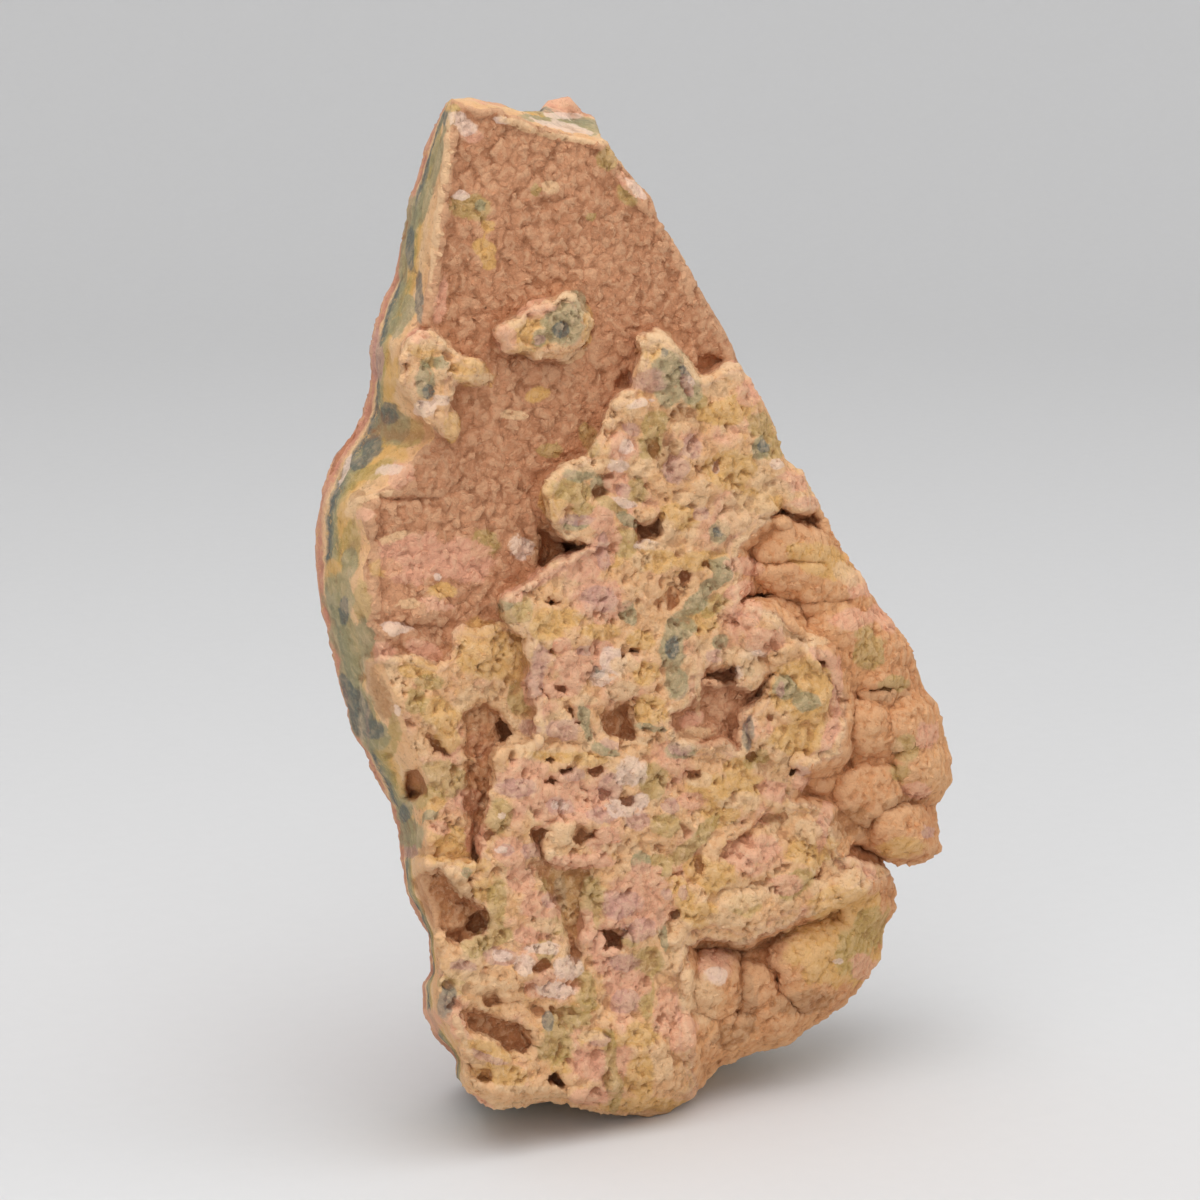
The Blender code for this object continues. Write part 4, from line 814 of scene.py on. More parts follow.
def lump_height(points, size):
    """Rounded lumps that meet in creases, 0 to 1."""
    scaled = (points / size).tolist()
    nearest = np.array([noise.voronoi(point)[0][0] for point in scaled])
    return np.sqrt(np.clip(1.0 - (nearest / LUMP_REACH) ** 2, 0.0, 1.0))


def swell_skin(stone):
    """Push the even skin out: lumps on the hidden back, a little grain everywhere."""
    mesh = stone.data
    points = np.empty(len(mesh.vertices) * 3)
    normals = np.empty(len(mesh.vertices) * 3)
    mesh.vertices.foreach_get("co", points)
    mesh.vertex_normals.foreach_get("vector", normals)
    points = points.reshape(-1, 3)
    normals = normals.reshape(-1, 3)
    hidden = smooth(TURNED_AWAY - TURN_GAIN * (normals @ BACK))
    hidden *= smooth((points[:, 2] - BASE_CLEAR) / BASE_BLEND)
    lumps = SKIN_LUMP_RISE * (lump_height(points, SKIN_LUMP) - LUMP_MIDDLE)
    lumps += SMALL_LUMP_RISE * (lump_height(points, SMALL_LUMP) - LUMP_MIDDLE)
    push = hidden * lumps + GRAIN_RISE * fractal(points, GRAIN_SIZE, 3)
    points += push[:, None] * normals
    mesh.vertices.foreach_set("co", points.ravel())
    mesh.update()


def ellipse_radius(u, v, ellipse):
    """Distance from the centre of an ellipse in shares of its size: 1 on the ellipse."""
    centre_u, centre_v, half_length, half_width, turn = ellipse[:5]
    cosine, sine = math.cos(math.radians(turn)), math.sin(math.radians(turn))
    along_it = (u - centre_u) * cosine + (v - centre_v) * sine
    across_it = (v - centre_v) * cosine - (u - centre_u) * sine
    return np.hypot(along_it / half_length, across_it / half_width)


def sight_of(points):
    """Pixel and nearness of each point, which turns place around."""
    offset = points - AIM_POINT
    near = offset @ BACK
    scale = PIXEL * (1.0 - near / SIGHT_DISTANCE)
    return AIM_U + offset @ RIGHT / scale, AIM_V - offset @ UP / scale, near


def read_points(mesh):
    """The mesh's points and their normals."""
    points = np.empty(len(mesh.vertices) * 3)
    normals = np.empty(len(mesh.vertices) * 3)
    mesh.vertices.foreach_get("co", points)
    mesh.vertex_normals.foreach_get("vector", normals)
    return points.reshape(-1, 3), normals.reshape(-1, 3)


def store(mesh, name, values):
    """Keep one number for each point of the mesh under a name."""
    attribute = mesh.attributes.new(name, "FLOAT", "POINT")
    attribute.data.foreach_set("value", np.ascontiguousarray(values, dtype=np.float32))


def patch_cover(u, v, patches):
    """Cover by soft ellipses: 1 at their centres, one half at their edges."""
    cover = np.zeros(u.shape)
    for patch in patches:
        centre_u, centre_v, half_length, half_width = patch[:4]
        reach = PATCH_REACH * max(half_length, half_width)
        near = (np.abs(u - centre_u) < reach) & (np.abs(v - centre_v) < reach)
        radius = ellipse_radius(u[near], v[near], patch)
        cover[near] = np.maximum(cover[near], smooth(1.0 - radius / PATCH_REACH))
    return cover


def layer_inset(u, v):
    """Distance in pixels inside the broken layers, less where the flanks and the hollow cut into them."""
    inset = np.full(u.shape, -np.inf)
    for outline, _, _ in LAYERS:
        inset = np.maximum(inset, outline_distance(u, v, outline))
    for outline in (LOBED_FLANK, LOWER_FLANK, SALMON_HOLLOW):
        inset = np.minimum(inset, -outline_distance(u, v, outline))
    return np.maximum(inset, outline_distance(u, v, AGATE_KNOLL))


def pit_depth(u, v):
    """How deep the pockets and the small holes are, 0 to 1."""
    pit = np.zeros(u.shape)
    for outline, depth, edge in POCKETS:
        deep = depth * smooth(POCKET_LAP + outline_distance(u, v, outline) / edge)
        pit = np.maximum(pit, deep)
    for hole in HOLES:
        pit = np.maximum(pit, hole[5] * smooth((HOLE_OUTER - ellipse_radius(u, v, hole)) / HOLE_SLOPE))
    return np.clip(pit / DEEPEST_PIT, 0.0, 1.0)


def surface_masks(mesh):
    """Store what each point of the crust is made of, for the weathering and the finish."""
    points, normals = read_points(mesh)
    u, v, near = sight_of(points)
    inset = outline_distance(u, v, stone_outline())
    front = visible_near(u, v, np.clip(inset, 0.0, None))
    side_near = hidden_side_near(u, v)
    back_near = hidden_near(u, v)
    hidden = np.minimum(np.maximum(side_near, back_near), front - THINNEST_RIM)
    seen = smooth(0.5 + (near - 0.5 * (front + hidden)) / SHEET_BLEND)
    torn_u, torn_v = wandering(u, v)
    flank = np.maximum(
        outline_distance(torn_u, torn_v, LOBED_FLANK), outline_distance(torn_u, torn_v, LOWER_FLANK)
    )
    lobed = smooth(0.5 + flank / FLANK_BLEND)
    inside = layer_inset(torn_u, torn_v)
    torn = smooth(inside / LAYER_BLEND) * (1.0 - lobed)
    left = smooth(0.5 + (along(LEFT_RIDGE, v) - torn_u) / RIDGE_BLEND)
    above = smooth(0.5 + (table(u, TOP_RIM) - torn_v) / RIDGE_BLEND)
    broken = np.maximum(left, above) * seen
    walled = (1.0 - seen) * smooth(0.5 + (side_near - back_near) / SHEET_BLEND)
    under = smooth((BASE_CLEAR - points[:, 2]) / BASE_CLEAR)
    side = np.maximum(np.maximum(broken, walled), under)
    thickness = back_depth(points) - AIM_POINT[1]
    store(mesh, "band", np.clip(1.0 - (points[:, 1] - AIM_POINT[1]) / thickness, 0.0, 1.0))
    store(mesh, "side", side)
    store(mesh, "skin", (1.0 - seen) * (1.0 - side))
    store(mesh, "lobed", lobed * seen * (1.0 - side))
    store(mesh, "torn", torn * seen * (1.0 - side))
    facing = smooth((normals @ BACK) / FACING_BLEND)
    store(mesh, "druse", (1.0 - torn) * (1.0 - lobed) * seen * (1.0 - side))
    store(mesh, "growth", (1.0 - torn) * (1.0 - LOBE_BARE * lobed) * seen * (1.0 - side) * facing)
    store(mesh, "rim", np.clip(inside, -RIM_REACH, RIM_REACH) * seen)
    # Depth of pockets and holes, which the finish darkens as painted shade
    store(mesh, "pit", pit_depth(torn_u, torn_v) * seen)
    for kind in KINDS:
        store(mesh, kind, patch_cover(u, v, PATCHES[kind]) * seen)


def fine_skin(sizes):
    """The crust's even skin at the fine scale, lumpy behind, with the masks of its parts."""
    crust = bpy.data.objects.new("crust", sheet_mesh())
    bpy.context.scene.collection.objects.link(crust)
    remesh(crust, sizes.voxel)
    swell_skin(crust)
    shave_spikes(crust.data)
    surface_masks(crust.data)
    return crust


class Maker:
    """Adds nodes to a shader or a geometry tree by short calls."""

    def __init__(self, tree):
        self.tree = tree
        self.shading = tree.bl_idname == "ShaderNodeTree"

    def put(self, kind, inputs=None, **settings):
        """Add a node, then set or link its inputs by name or number."""
        node = self.tree.nodes.new(kind)
        for name, value in settings.items():
            setattr(node, name, value)
        for key, value in (inputs or {}).items():
            if isinstance(value, bpy.types.NodeSocket):
                self.tree.links.new(value, node.inputs[key])
            else:
                node.inputs[key].default_value = value
        return node

    def math(self, operation, *values):
        """One number from one to three."""
        return self.put("ShaderNodeMath", dict(enumerate(values)), operation=operation).outputs[0]

    def total(self, *values):
        """Sum of the numbers."""
        result = values[0]
        for value in values[1:]:
            result = self.math("ADD", result, value)
        return result

    def product(self, *values):
        """Product of the numbers."""
        result = values[0]
        for value in values[1:]:
            result = self.math("MULTIPLY", result, value)
        return result

    def vector(self, operation, *values):
        """One vector from two."""
        return self.put("ShaderNodeVectorMath", dict(enumerate(values)), operation=operation).outputs[0]

    def dot(self, a, b):
        """Dot product of two vectors."""
        return self.put("ShaderNodeVectorMath", {0: a, 1: b}, operation="DOT_PRODUCT").outputs["Value"]

    def scaled(self, vector, factor):
        """The vector times a number."""
        node = self.put("ShaderNodeVectorMath", {0: vector, "Scale": factor}, operation="SCALE")
        return node.outputs[0]

    def fit(self, value, low, high, start=0.0, end=1.0):
        """Smooth step of a number from low to high."""
        inputs = {"Value": value, 1: low, 2: high, 3: start, 4: end}
        return self.put("ShaderNodeMapRange", inputs, interpolation_type="SMOOTHSTEP").outputs[0]

    def noise(self, place, size, detail=3.0, roughness=0.55):
        """Fractal noise of the given size: its number and its colour."""
        inputs = {"Vector": place, "Scale": 1.0 / size, "Detail": detail, "Roughness": roughness}
        node = self.put("ShaderNodeTexNoise", inputs)
        return node.outputs[0], node.outputs[1]

    def cells(self, place, size, feature="F1"):
        """Cells of the given size."""
        inputs = {"Vector": place, "Scale": 1.0 / size}
        return self.put("ShaderNodeTexVoronoi", inputs, feature=feature)

    def dome(self, distance):
        """A round dome over each cell, which falls to 0 where cells meet."""
        share = self.math("DIVIDE", distance, CELL_REACH)
        fall = self.math("MULTIPLY", share, share)
        return self.math("SQRT", self.math("MAXIMUM", self.math("SUBTRACT", 1.0, fall), 0.0))

    def blend(self, factor, a, b, kind="MIX"):
        """One colour from two."""
        node = self.put("ShaderNodeMix", {0: factor, 6: a, 7: b}, data_type="RGBA", blend_type=kind)
        return node.outputs[2]

    def named(self, name, vector=False):
        """What the mesh stores at its points under a name."""
        if self.shading:
            node = self.put("ShaderNodeAttribute", attribute_name=name)
            return node.outputs["Vector" if vector else "Fac"]
        kind = "FLOAT_VECTOR" if vector else "FLOAT"
        return self.put("GeometryNodeInputNamedAttribute", {"Name": name}, data_type=kind).outputs[0]


def druse_scales(make, place, size):
    """Grown-together nubs that tilt and meet in creases: height, crease and tint, in cell sizes."""
    at = make.scaled(place, make.math("DIVIDE", 1.0, size))
    wander = make.vector("SUBTRACT", make.noise(at, 1.4, 3.0)[1], (0.5, 0.5, 0.5))
    at = make.vector("ADD", at, make.scaled(wander, 1.9))
    nub = make.cells(at, 1.0)
    lean = make.vector("SUBTRACT", nub.outputs["Color"], (0.5, 0.5, 0.5))
    tilt = make.dot(lean, make.vector("SUBTRACT", at, nub.outputs["Position"]))
    small = make.cells(at, 0.45)
    small_lean = make.vector("SUBTRACT", small.outputs["Color"], (0.5, 0.5, 0.5))
    small_tilt = make.dot(small_lean, make.vector("SUBTRACT", at, small.outputs["Position"]))
    wrinkle = make.math("SUBTRACT", make.noise(at, 0.4, 3.0)[0], 0.5)
    height = make.total(
        make.product(make.dome(nub.outputs["Distance"]), 0.55),
        make.product(tilt, 1.3),
        make.product(make.dome(small.outputs["Distance"]), 0.28),
        make.product(small_tilt, 0.9),
        make.product(wrinkle, 0.8),
    )
    edge = make.cells(at, 1.0, "DISTANCE_TO_EDGE").outputs["Distance"]
    small_edge = make.cells(at, 0.45, "DISTANCE_TO_EDGE").outputs["Distance"]
    crease = make.math(
        "MAXIMUM", make.fit(edge, 0.0, 0.16, 1.0, 0.0), make.fit(small_edge, 0.0, 0.16, 0.45, 0.0)
    )
    return height, crease, make.dot(nub.outputs["Color"], (0.4, 0.3, 0.3))


def torn_rock(make, place, size):
    """Pitted, crumbly broken rock: height and vugs."""
    at = make.scaled(place, make.math("DIVIDE", 1.0, size))
    rough = make.math("SUBTRACT", make.noise(at, 1.0, 6.0, 0.68)[0], 0.5)
    chunk = make.cells(at, 0.55)
    lean = make.vector("SUBTRACT", chunk.outputs["Color"], (0.5, 0.5, 0.5))
    facet = make.dot(lean, make.vector("SUBTRACT", at, chunk.outputs["Position"]))
    crumb = make.cells(at, 0.26)
    vug = make.fit(make.noise(make.vector("ADD", at, (7.3, 2.1, 4.7)), 0.65, 4.0, 0.62)[0], 0.57, 0.67)
    height = make.total(
        make.product(rough, 2.3),
        make.product(facet, 1.1),
        make.product(make.dome(crumb.outputs["Distance"]), 0.24),
        make.product(vug, -0.8),
    )
    return height, vug


def lobed_skin(make, place, size):
    """Smooth swollen growth with a fine grain: height."""
    at = make.scaled(place, make.math("DIVIDE", 1.0, size))
    wander = make.vector("SUBTRACT", make.noise(at, 0.6, 2.0)[1], (0.5, 0.5, 0.5))
    at = make.vector("ADD", at, make.scaled(wander, 0.5))
    lump = make.dome(make.cells(at, 0.30).outputs["Distance"])
    swell = make.math("SUBTRACT", make.noise(at, 0.9, 4.0, 0.6)[0], 0.5)
    grain = make.math("SUBTRACT", make.noise(at, 0.14, 4.0, 0.65)[0], 0.5)
    return make.total(make.product(lump, 0.30), make.product(swell, 1.5), make.product(grain, 0.8))


def broken_side(make, place, size):
    """Granular break across the bands: height."""
    at = make.scaled(place, make.math("DIVIDE", 1.0, size))
    rough = make.math("SUBTRACT", make.noise(at, 1.0, 6.0, 0.6)[0], 0.5)
    crumb = make.dome(make.cells(at, 0.35).outputs["Distance"])
    return make.total(make.product(rough, 1.8), make.product(crumb, 0.2))


def weathering_tree():
    """Geometry nodes that push the even skin into druse scales, torn rock, lobes and lumpy skin."""
    tree = bpy.data.node_groups.new("crust_weathering", "GeometryNodeTree")
    face = tree.interface
    face.new_socket("Geometry", in_out="INPUT", socket_type="NodeSocketGeometry")
    for name in WEATHERING_INPUTS:
        face.new_socket(name, in_out="INPUT", socket_type="NodeSocketFloat").subtype = "DISTANCE"
    face.new_socket("Material", in_out="INPUT", socket_type="NodeSocketMaterial")
    face.new_socket("Geometry", in_out="OUTPUT", socket_type="NodeSocketGeometry")
    make = Maker(tree)
    given = make.put("NodeGroupInput").outputs
    place = make.put("GeometryNodeInputPosition").outputs[0]
    scales = druse_scales(make, place, given["Druse Size"])[0]
    patterns = (
        ("druse", scales, "Druse Rise"),
        ("lobed", scales, "Druse Rise"),
        ("torn", torn_rock(make, place, given["Torn Size"])[0], "Torn Rise"),
        ("lobed", lobed_skin(make, place, given["Lobe Size"]), "Lobe Rise"),
        ("side", broken_side(make, place, given["Side Size"]), "Side Rise"),
        ("skin", lobed_skin(make, place, given["Skin Size"]), "Skin Rise"),
    )
    pushes = []
    for mask, height, rise in patterns:
        pushes.append(make.product(height, make.named(mask), given[rise]))
    normal = make.put("GeometryNodeInputNormal").outputs[0]
    inputs = {"Geometry": given["Geometry"], "Name": "rest", "Value": place}
    kept = make.put("GeometryNodeStoreNamedAttribute", inputs, data_type="FLOAT_VECTOR")
    offset = make.scaled(normal, make.total(*pushes))
    pushed = make.put("GeometryNodeSetPosition", {"Geometry": kept.outputs[0], "Offset": offset})
    real = make.put("GeometryNodeRealizeInstances", {"Geometry": pushed.outputs[0]})
    inputs = {"Geometry": real.outputs[0], "Material": given["Material"]}
    finished = make.put("GeometryNodeSetMaterial", inputs)
    make.put("NodeGroupOutput", {"Geometry": finished.outputs[0]})
    return tree


def socket_identifiers(tree):
    """Identifier of each input of a geometry tree by its name."""
    found = {}
    for item in tree.interface.items_tree:
        if item.item_type == "SOCKET" and item.in_out == "INPUT":
            found[item.name] = item.identifier
    return found


def run_tree(piece, tree, values):
    """Put a geometry tree on a piece with its values, and make its result the plain mesh."""
    modifier = piece.modifiers.new(tree.name, "NODES")
    modifier.node_group = tree
    identifiers = socket_identifiers(tree)
    for name, value in values.items():
        modifier[identifiers[name]] = value
    applied(piece)


def thin(crust, budget):
    """Thin the skin to the triangle budget."""
    modifier = crust.modifiers.new("thinned", "DECIMATE")
    modifier.ratio = budget / (2.0 * len(crust.data.polygons))
    modifier.use_collapse_triangulate = True
    applied(crust)


def drop_islands(work):
    """Keep only the largest connected part of the mesh."""
    unseen = set(work.verts)
    islands = []
    while unseen:
        island = [unseen.pop()]
        for vertex in island:
            for edge in vertex.link_edges:
                other = edge.other_vert(vertex)
                if other in unseen:
                    unseen.discard(other)
                    island.append(other)
        islands.append(island)
    islands.sort(key=len)
    loose = [vertex for island in islands[:-1] for vertex in island]
    bmesh.ops.delete(work, geom=loose, context="VERTS")


def cut_base(crust):
    """Cut the sunk underside off at the ground and close it."""
    mesh = crust.data
    work = bmesh.new()
    work.from_mesh(mesh)
    geometry = work.verts[:] + work.edges[:] + work.faces[:]
    cut = bmesh.ops.bisect_plane(
        work, geom=geometry, dist=1e-6, plane_co=(0.0, 0.0, 0.0), plane_no=(0.0, 0.0, 1.0), clear_inner=True
    )
    rim = [item for item in cut["geom_cut"] if isinstance(item, bmesh.types.BMEdge)]
    filled = bmesh.ops.holes_fill(work, edges=rim, sides=0)
    bmesh.ops.triangulate(work, faces=filled["faces"])
    drop_islands(work)
    work.to_mesh(mesh)
    work.free()


def edge_ends(mesh):
    """Both ends of every edge, and how many edges meet at each point."""
    edges = np.empty(len(mesh.edges) * 2, dtype=np.int32)
    mesh.edges.foreach_get("vertices", edges)
    start, end = edges.reshape(-1, 2).T
    count = len(mesh.vertices)
    links = np.bincount(start, minlength=count) + np.bincount(end, minlength=count)
    return start, end, np.maximum(links, 1)


def neighbour_means(points, start, end, links):
    """Mean of the neighbours of each point."""
    total = np.empty_like(points)
    for axis in range(3):
        total[:, axis] = np.bincount(start, points[end, axis], len(points))
        total[:, axis] += np.bincount(end, points[start, axis], len(points))
    return total / links[:, None]


def shave_spikes(mesh):
    """Pull thin spikes of the even skin back to their surroundings."""
    points, _ = read_points(mesh)
    ends = edge_ends(mesh)
    for _ in range(SHAVE_TURNS):
        even = neighbour_means(points, *ends)
        spiky = np.linalg.norm(points - even, axis=1) > SPIKE_RISE
        points[spiky] = even[spiky]
    mesh.vertices.foreach_set("co", points.ravel())
    mesh.update()


def keep_in_box(mesh):
    """Hold the points inside the solid's box."""
    points, _ = read_points(mesh)
    points = np.clip(points, np.array(CAD_LOW), np.array(CAD_HIGH))
    mesh.vertices.foreach_set("co", points.ravel())
    mesh.update()


def store_hollows(mesh):
    """Store how far each point lies below its surroundings, near and wide, in millimetres."""
    points, normals = read_points(mesh)
    ends = edge_ends(mesh)
    even = points
    for turn in range(1, WIDE_HOLLOW_TURNS + 1):
        even = neighbour_means(even, *ends)
        if turn == FINE_HOLLOW_TURNS:
            store(mesh, "hollow_fine", np.sum((even - points) * normals, axis=1) / MILLIMETRE)
    store(mesh, "hollow_wide", np.sum((even - points) * normals, axis=1) / MILLIMETRE)


def finish_piece(piece, name):
    """Name a piece, tie it to the body of the solid and hide the solid."""
    piece.name = name
    piece.data.name = name
    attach(piece, "root")
    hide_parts(NODE)


def build_crust(sizes, material):
    """The weathered crust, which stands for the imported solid."""
    crust = fine_skin(sizes)
    tree = weathering_tree()
    values = {
        "Druse Size": sizes.druse_size, "Druse Rise": sizes.druse_rise,
        "Torn Size": sizes.torn_size, "Torn Rise": sizes.torn_rise,
        "Lobe Size": sizes.lobe_size, "Lobe Rise": sizes.lobe_rise,
        "Side Size": sizes.side_size, "Side Rise": sizes.side_rise,
        "Skin Size": sizes.skin_size, "Skin Rise": sizes.skin_rise,
        "Material": material,
    }
    run_tree(crust, tree, values)
    thin(crust, sizes.triangles)
    cut_base(crust)
    keep_in_box(crust.data)
    store_hollows(crust.data)
    crust.data.shade_smooth()
    finish_piece(crust, "crust")
    return crust


def nub_shapes(count, points, flatness, seed):
    """A hidden collection of small angular crystals, each the hull of a few points on a flat ball."""
    draw = np.random.default_rng(seed)
    group = bpy.data.collections.new("nubs_" + str(seed))
    for number in range(count):
        work = bmesh.new()
        for direction in draw.normal(size=(points, 3)):
            direction /= np.linalg.norm(direction)
            stretch = np.array((1.0, 0.72, flatness)) * draw.uniform(0.85, 1.15)
            work.verts.new(direction * stretch)
        hull = bmesh.ops.convex_hull(work, input=work.verts)
        bmesh.ops.delete(work, geom=hull["geom_interior"], context="VERTS")
        bmesh.ops.recalc_face_normals(work, faces=work.faces)
        mesh = bpy.data.meshes.new("nub")
        work.to_mesh(mesh)
        work.free()
        group.objects.link(bpy.data.objects.new("nub_" + str(seed) + "_" + str(number), mesh))
    return group


def scatter_tree(name, mask, low, high):
    """Geometry nodes that grow small shapes where the mask is above low, more up to high."""
    tree = bpy.data.node_groups.new(name, "GeometryNodeTree")
    face = tree.interface
    face.new_socket("Geometry", in_out="INPUT", socket_type="NodeSocketGeometry")
    face.new_socket("Shapes", in_out="INPUT", socket_type="NodeSocketCollection")
    for socket in ("Spacing", "Smallest", "Largest", "Sink"):
        face.new_socket(socket, in_out="INPUT", socket_type="NodeSocketFloat").subtype = "DISTANCE"
    face.new_socket("Seed", in_out="INPUT", socket_type="NodeSocketInt")
    face.new_socket("Material", in_out="INPUT", socket_type="NodeSocketMaterial")
    face.new_socket("Geometry", in_out="OUTPUT", socket_type="NodeSocketGeometry")
    make = Maker(tree)
    given = make.put("NodeGroupInput").outputs
    inputs = {
        "Mesh": given["Geometry"], "Distance Min": given["Spacing"], "Density Max": MOST_PER_AREA,
        "Density Factor": make.fit(make.named(mask), low, high), "Seed": given["Seed"],
    }
    spread = make.put("GeometryNodeDistributePointsOnFaces", inputs, distribute_method="POISSON")
    sunk = make.scaled(spread.outputs["Normal"], make.math("MULTIPLY", given["Sink"], -1.0))
    points = make.put("GeometryNodeSetPosition", {"Geometry": spread.outputs["Points"], "Offset": sunk})
    shapes = make.put(
        "GeometryNodeCollectionInfo",
        {"Collection": given["Shapes"], "Separate Children": True, "Reset Children": True},
    )
    spin = make.put(
        "FunctionNodeRandomValue",
        {0: (-0.5, -0.5, 0.0), 1: (0.5, 0.5, math.tau), "Seed": given["Seed"]},
        data_type="FLOAT_VECTOR",
    )
    turn = make.put(
        "FunctionNodeRotateRotation",
        {"Rotation": spread.outputs["Rotation"], "Rotate By": spin.outputs[0]},
        rotation_space="LOCAL",
    )
    size = make.put(
        "FunctionNodeRandomValue",
        {2: given["Smallest"], 3: given["Largest"], "Seed": make.math("ADD", given["Seed"], 7.0)},
        data_type="FLOAT",
    )
    inputs = {
        "Points": points.outputs[0], "Instance": shapes.outputs[0], "Pick Instance": True,
        "Rotation": turn.outputs[0], "Scale": size.outputs[1],
    }
    grown = make.put("GeometryNodeInstanceOnPoints", inputs)
    tint = make.put("FunctionNodeRandomValue", {"Seed": given["Seed"]}, data_type="FLOAT")
    inputs = {"Geometry": grown.outputs[0], "Name": "tint", "Value": tint.outputs[1]}
    tinted = make.put("GeometryNodeStoreNamedAttribute", inputs, data_type="FLOAT", domain="INSTANCE")
    real = make.put("GeometryNodeRealizeInstances", {"Geometry": tinted.outputs[0]})
    place = make.put("GeometryNodeInputPosition").outputs[0]
    inputs = {"Geometry": real.outputs[0], "Name": "rest", "Value": place}
    kept = make.put("GeometryNodeStoreNamedAttribute", inputs, data_type="FLOAT_VECTOR")
    inputs = {"Geometry": kept.outputs[0], "Material": given["Material"]}
    finished = make.put("GeometryNodeSetMaterial", inputs)
    make.put("NodeGroupOutput", {"Geometry": finished.outputs[0]})
    return tree


def grow(name, crust, tree, shapes, values):
    """A piece of small shapes that the tree grows on the crust."""
    piece = bpy.data.objects.new(name, crust.data.copy())
    bpy.context.scene.collection.objects.link(piece)
    run_tree(piece, tree, {"Shapes": shapes, **values})
    for item in list(shapes.objects):
        bpy.data.objects.remove(item, do_unlink=True)
    bpy.data.collections.remove(shapes)
    keep_in_box(piece.data)
    finish_piece(piece, name)
    return piece


def srgb(red, green, blue):
    """Linear colour of a display colour given in 0 to 255."""
    values = []
    for channel in (red, green, blue):
        share = channel / 255.0
        values.append(share / 12.92 if share <= 0.04045 else ((share + 0.055) / 1.055) ** 2.4)
    return (*values, 1.0)


def shader_group(name, inputs, outputs):
    """An empty shader node group with named sockets: its maker, its given values and its results."""
    tree = bpy.data.node_groups.new(name, "ShaderNodeTree")
    for label, kind in inputs:
        tree.interface.new_socket(label, in_out="INPUT", socket_type="NodeSocket" + kind)
    for label, kind in outputs:
        tree.interface.new_socket(label, in_out="OUTPUT", socket_type="NodeSocket" + kind)
    make = Maker(tree)
    given = make.put("NodeGroupInput").outputs
    result = make.put("NodeGroupOutput").inputs
    return make, given, result


def mottle_group():
    """Three colours that run into each other in blotches and grains."""
    inputs = (
        ("Place", "Vector"), ("Size", "Float"), ("Main", "Color"), ("Light", "Color"), ("Deep", "Color"),
    )
    make, given, result = shader_group("mottle", inputs, (("Colour", "Color"),))
    at = make.scaled(given["Place"], make.math("DIVIDE", 1.0, given["Size"]))
    wide = make.noise(at, 1.0, 4.0, 0.6)[0]
    grain = make.noise(make.vector("ADD", at, (3.1, 5.7, 1.9)), 0.3, 4.0, 0.65)[0]
    colour = make.blend(make.fit(wide, 0.46, 0.68), given["Main"], given["Light"])
    colour = make.blend(make.fit(grain, 0.48, 0.76, 0.0, 0.50), colour, given["Deep"])
    colour = make.blend(make.fit(grain, 0.28, 0.48, 0.25, 0.0), colour, given["Light"])
    make.tree.links.new(colour, result["Colour"])
    return make.tree


def stain_group():
    """A patch of another mineral, where a few patches are painted shadow strips and glints instead: its
    ragged mask, and its blotchy colour laid over the one below.
    """
    inputs = (
        ("Place", "Vector"), ("Cover", "Float"), ("Ragged", "Float"), ("Strength", "Float"),
        ("Below", "Color"), ("Stain", "Color"),
    )
    make, given, result = shader_group("stain_and_painted_patch", inputs, (("Colour", "Color"),))
    torn = make.total(
        make.product(make.math("SUBTRACT", make.noise(given["Place"], 0.0042, 5.0, 0.58)[0], 0.5), 1.2),
        make.product(make.math("SUBTRACT", make.noise(given["Place"], 0.0011, 2.0, 0.6)[0], 0.5), 0.25),
    )
    cover = make.total(given["Cover"], make.product(torn, given["Ragged"]))
    mask = make.product(make.fit(cover, 0.40, 0.60), given["Strength"])
    grain = make.noise(given["Place"], 0.0011, 4.0, 0.7)[0]
    varied = make.blend(make.fit(grain, 0.35, 0.7, 0.0, 0.20), given["Stain"], given["Below"])
    colour = make.blend(mask, given["Below"], varied)
    make.tree.links.new(colour, result["Colour"])
    return make.tree


def scales_group():
    """The druse scales for the shader, as the weathering makes them."""
    inputs = (("Place", "Vector"), ("Size", "Float"))
    outputs = (("Height", "Float"), ("Crease", "Float"), ("Tint", "Float"))
    make, given, result = shader_group("druse_scales", inputs, outputs)
    height, crease, tint = druse_scales(make, given["Place"], given["Size"])
    make.tree.links.new(height, result["Height"])
    make.tree.links.new(crease, result["Crease"])
    make.tree.links.new(tint, result["Tint"])
    return make.tree


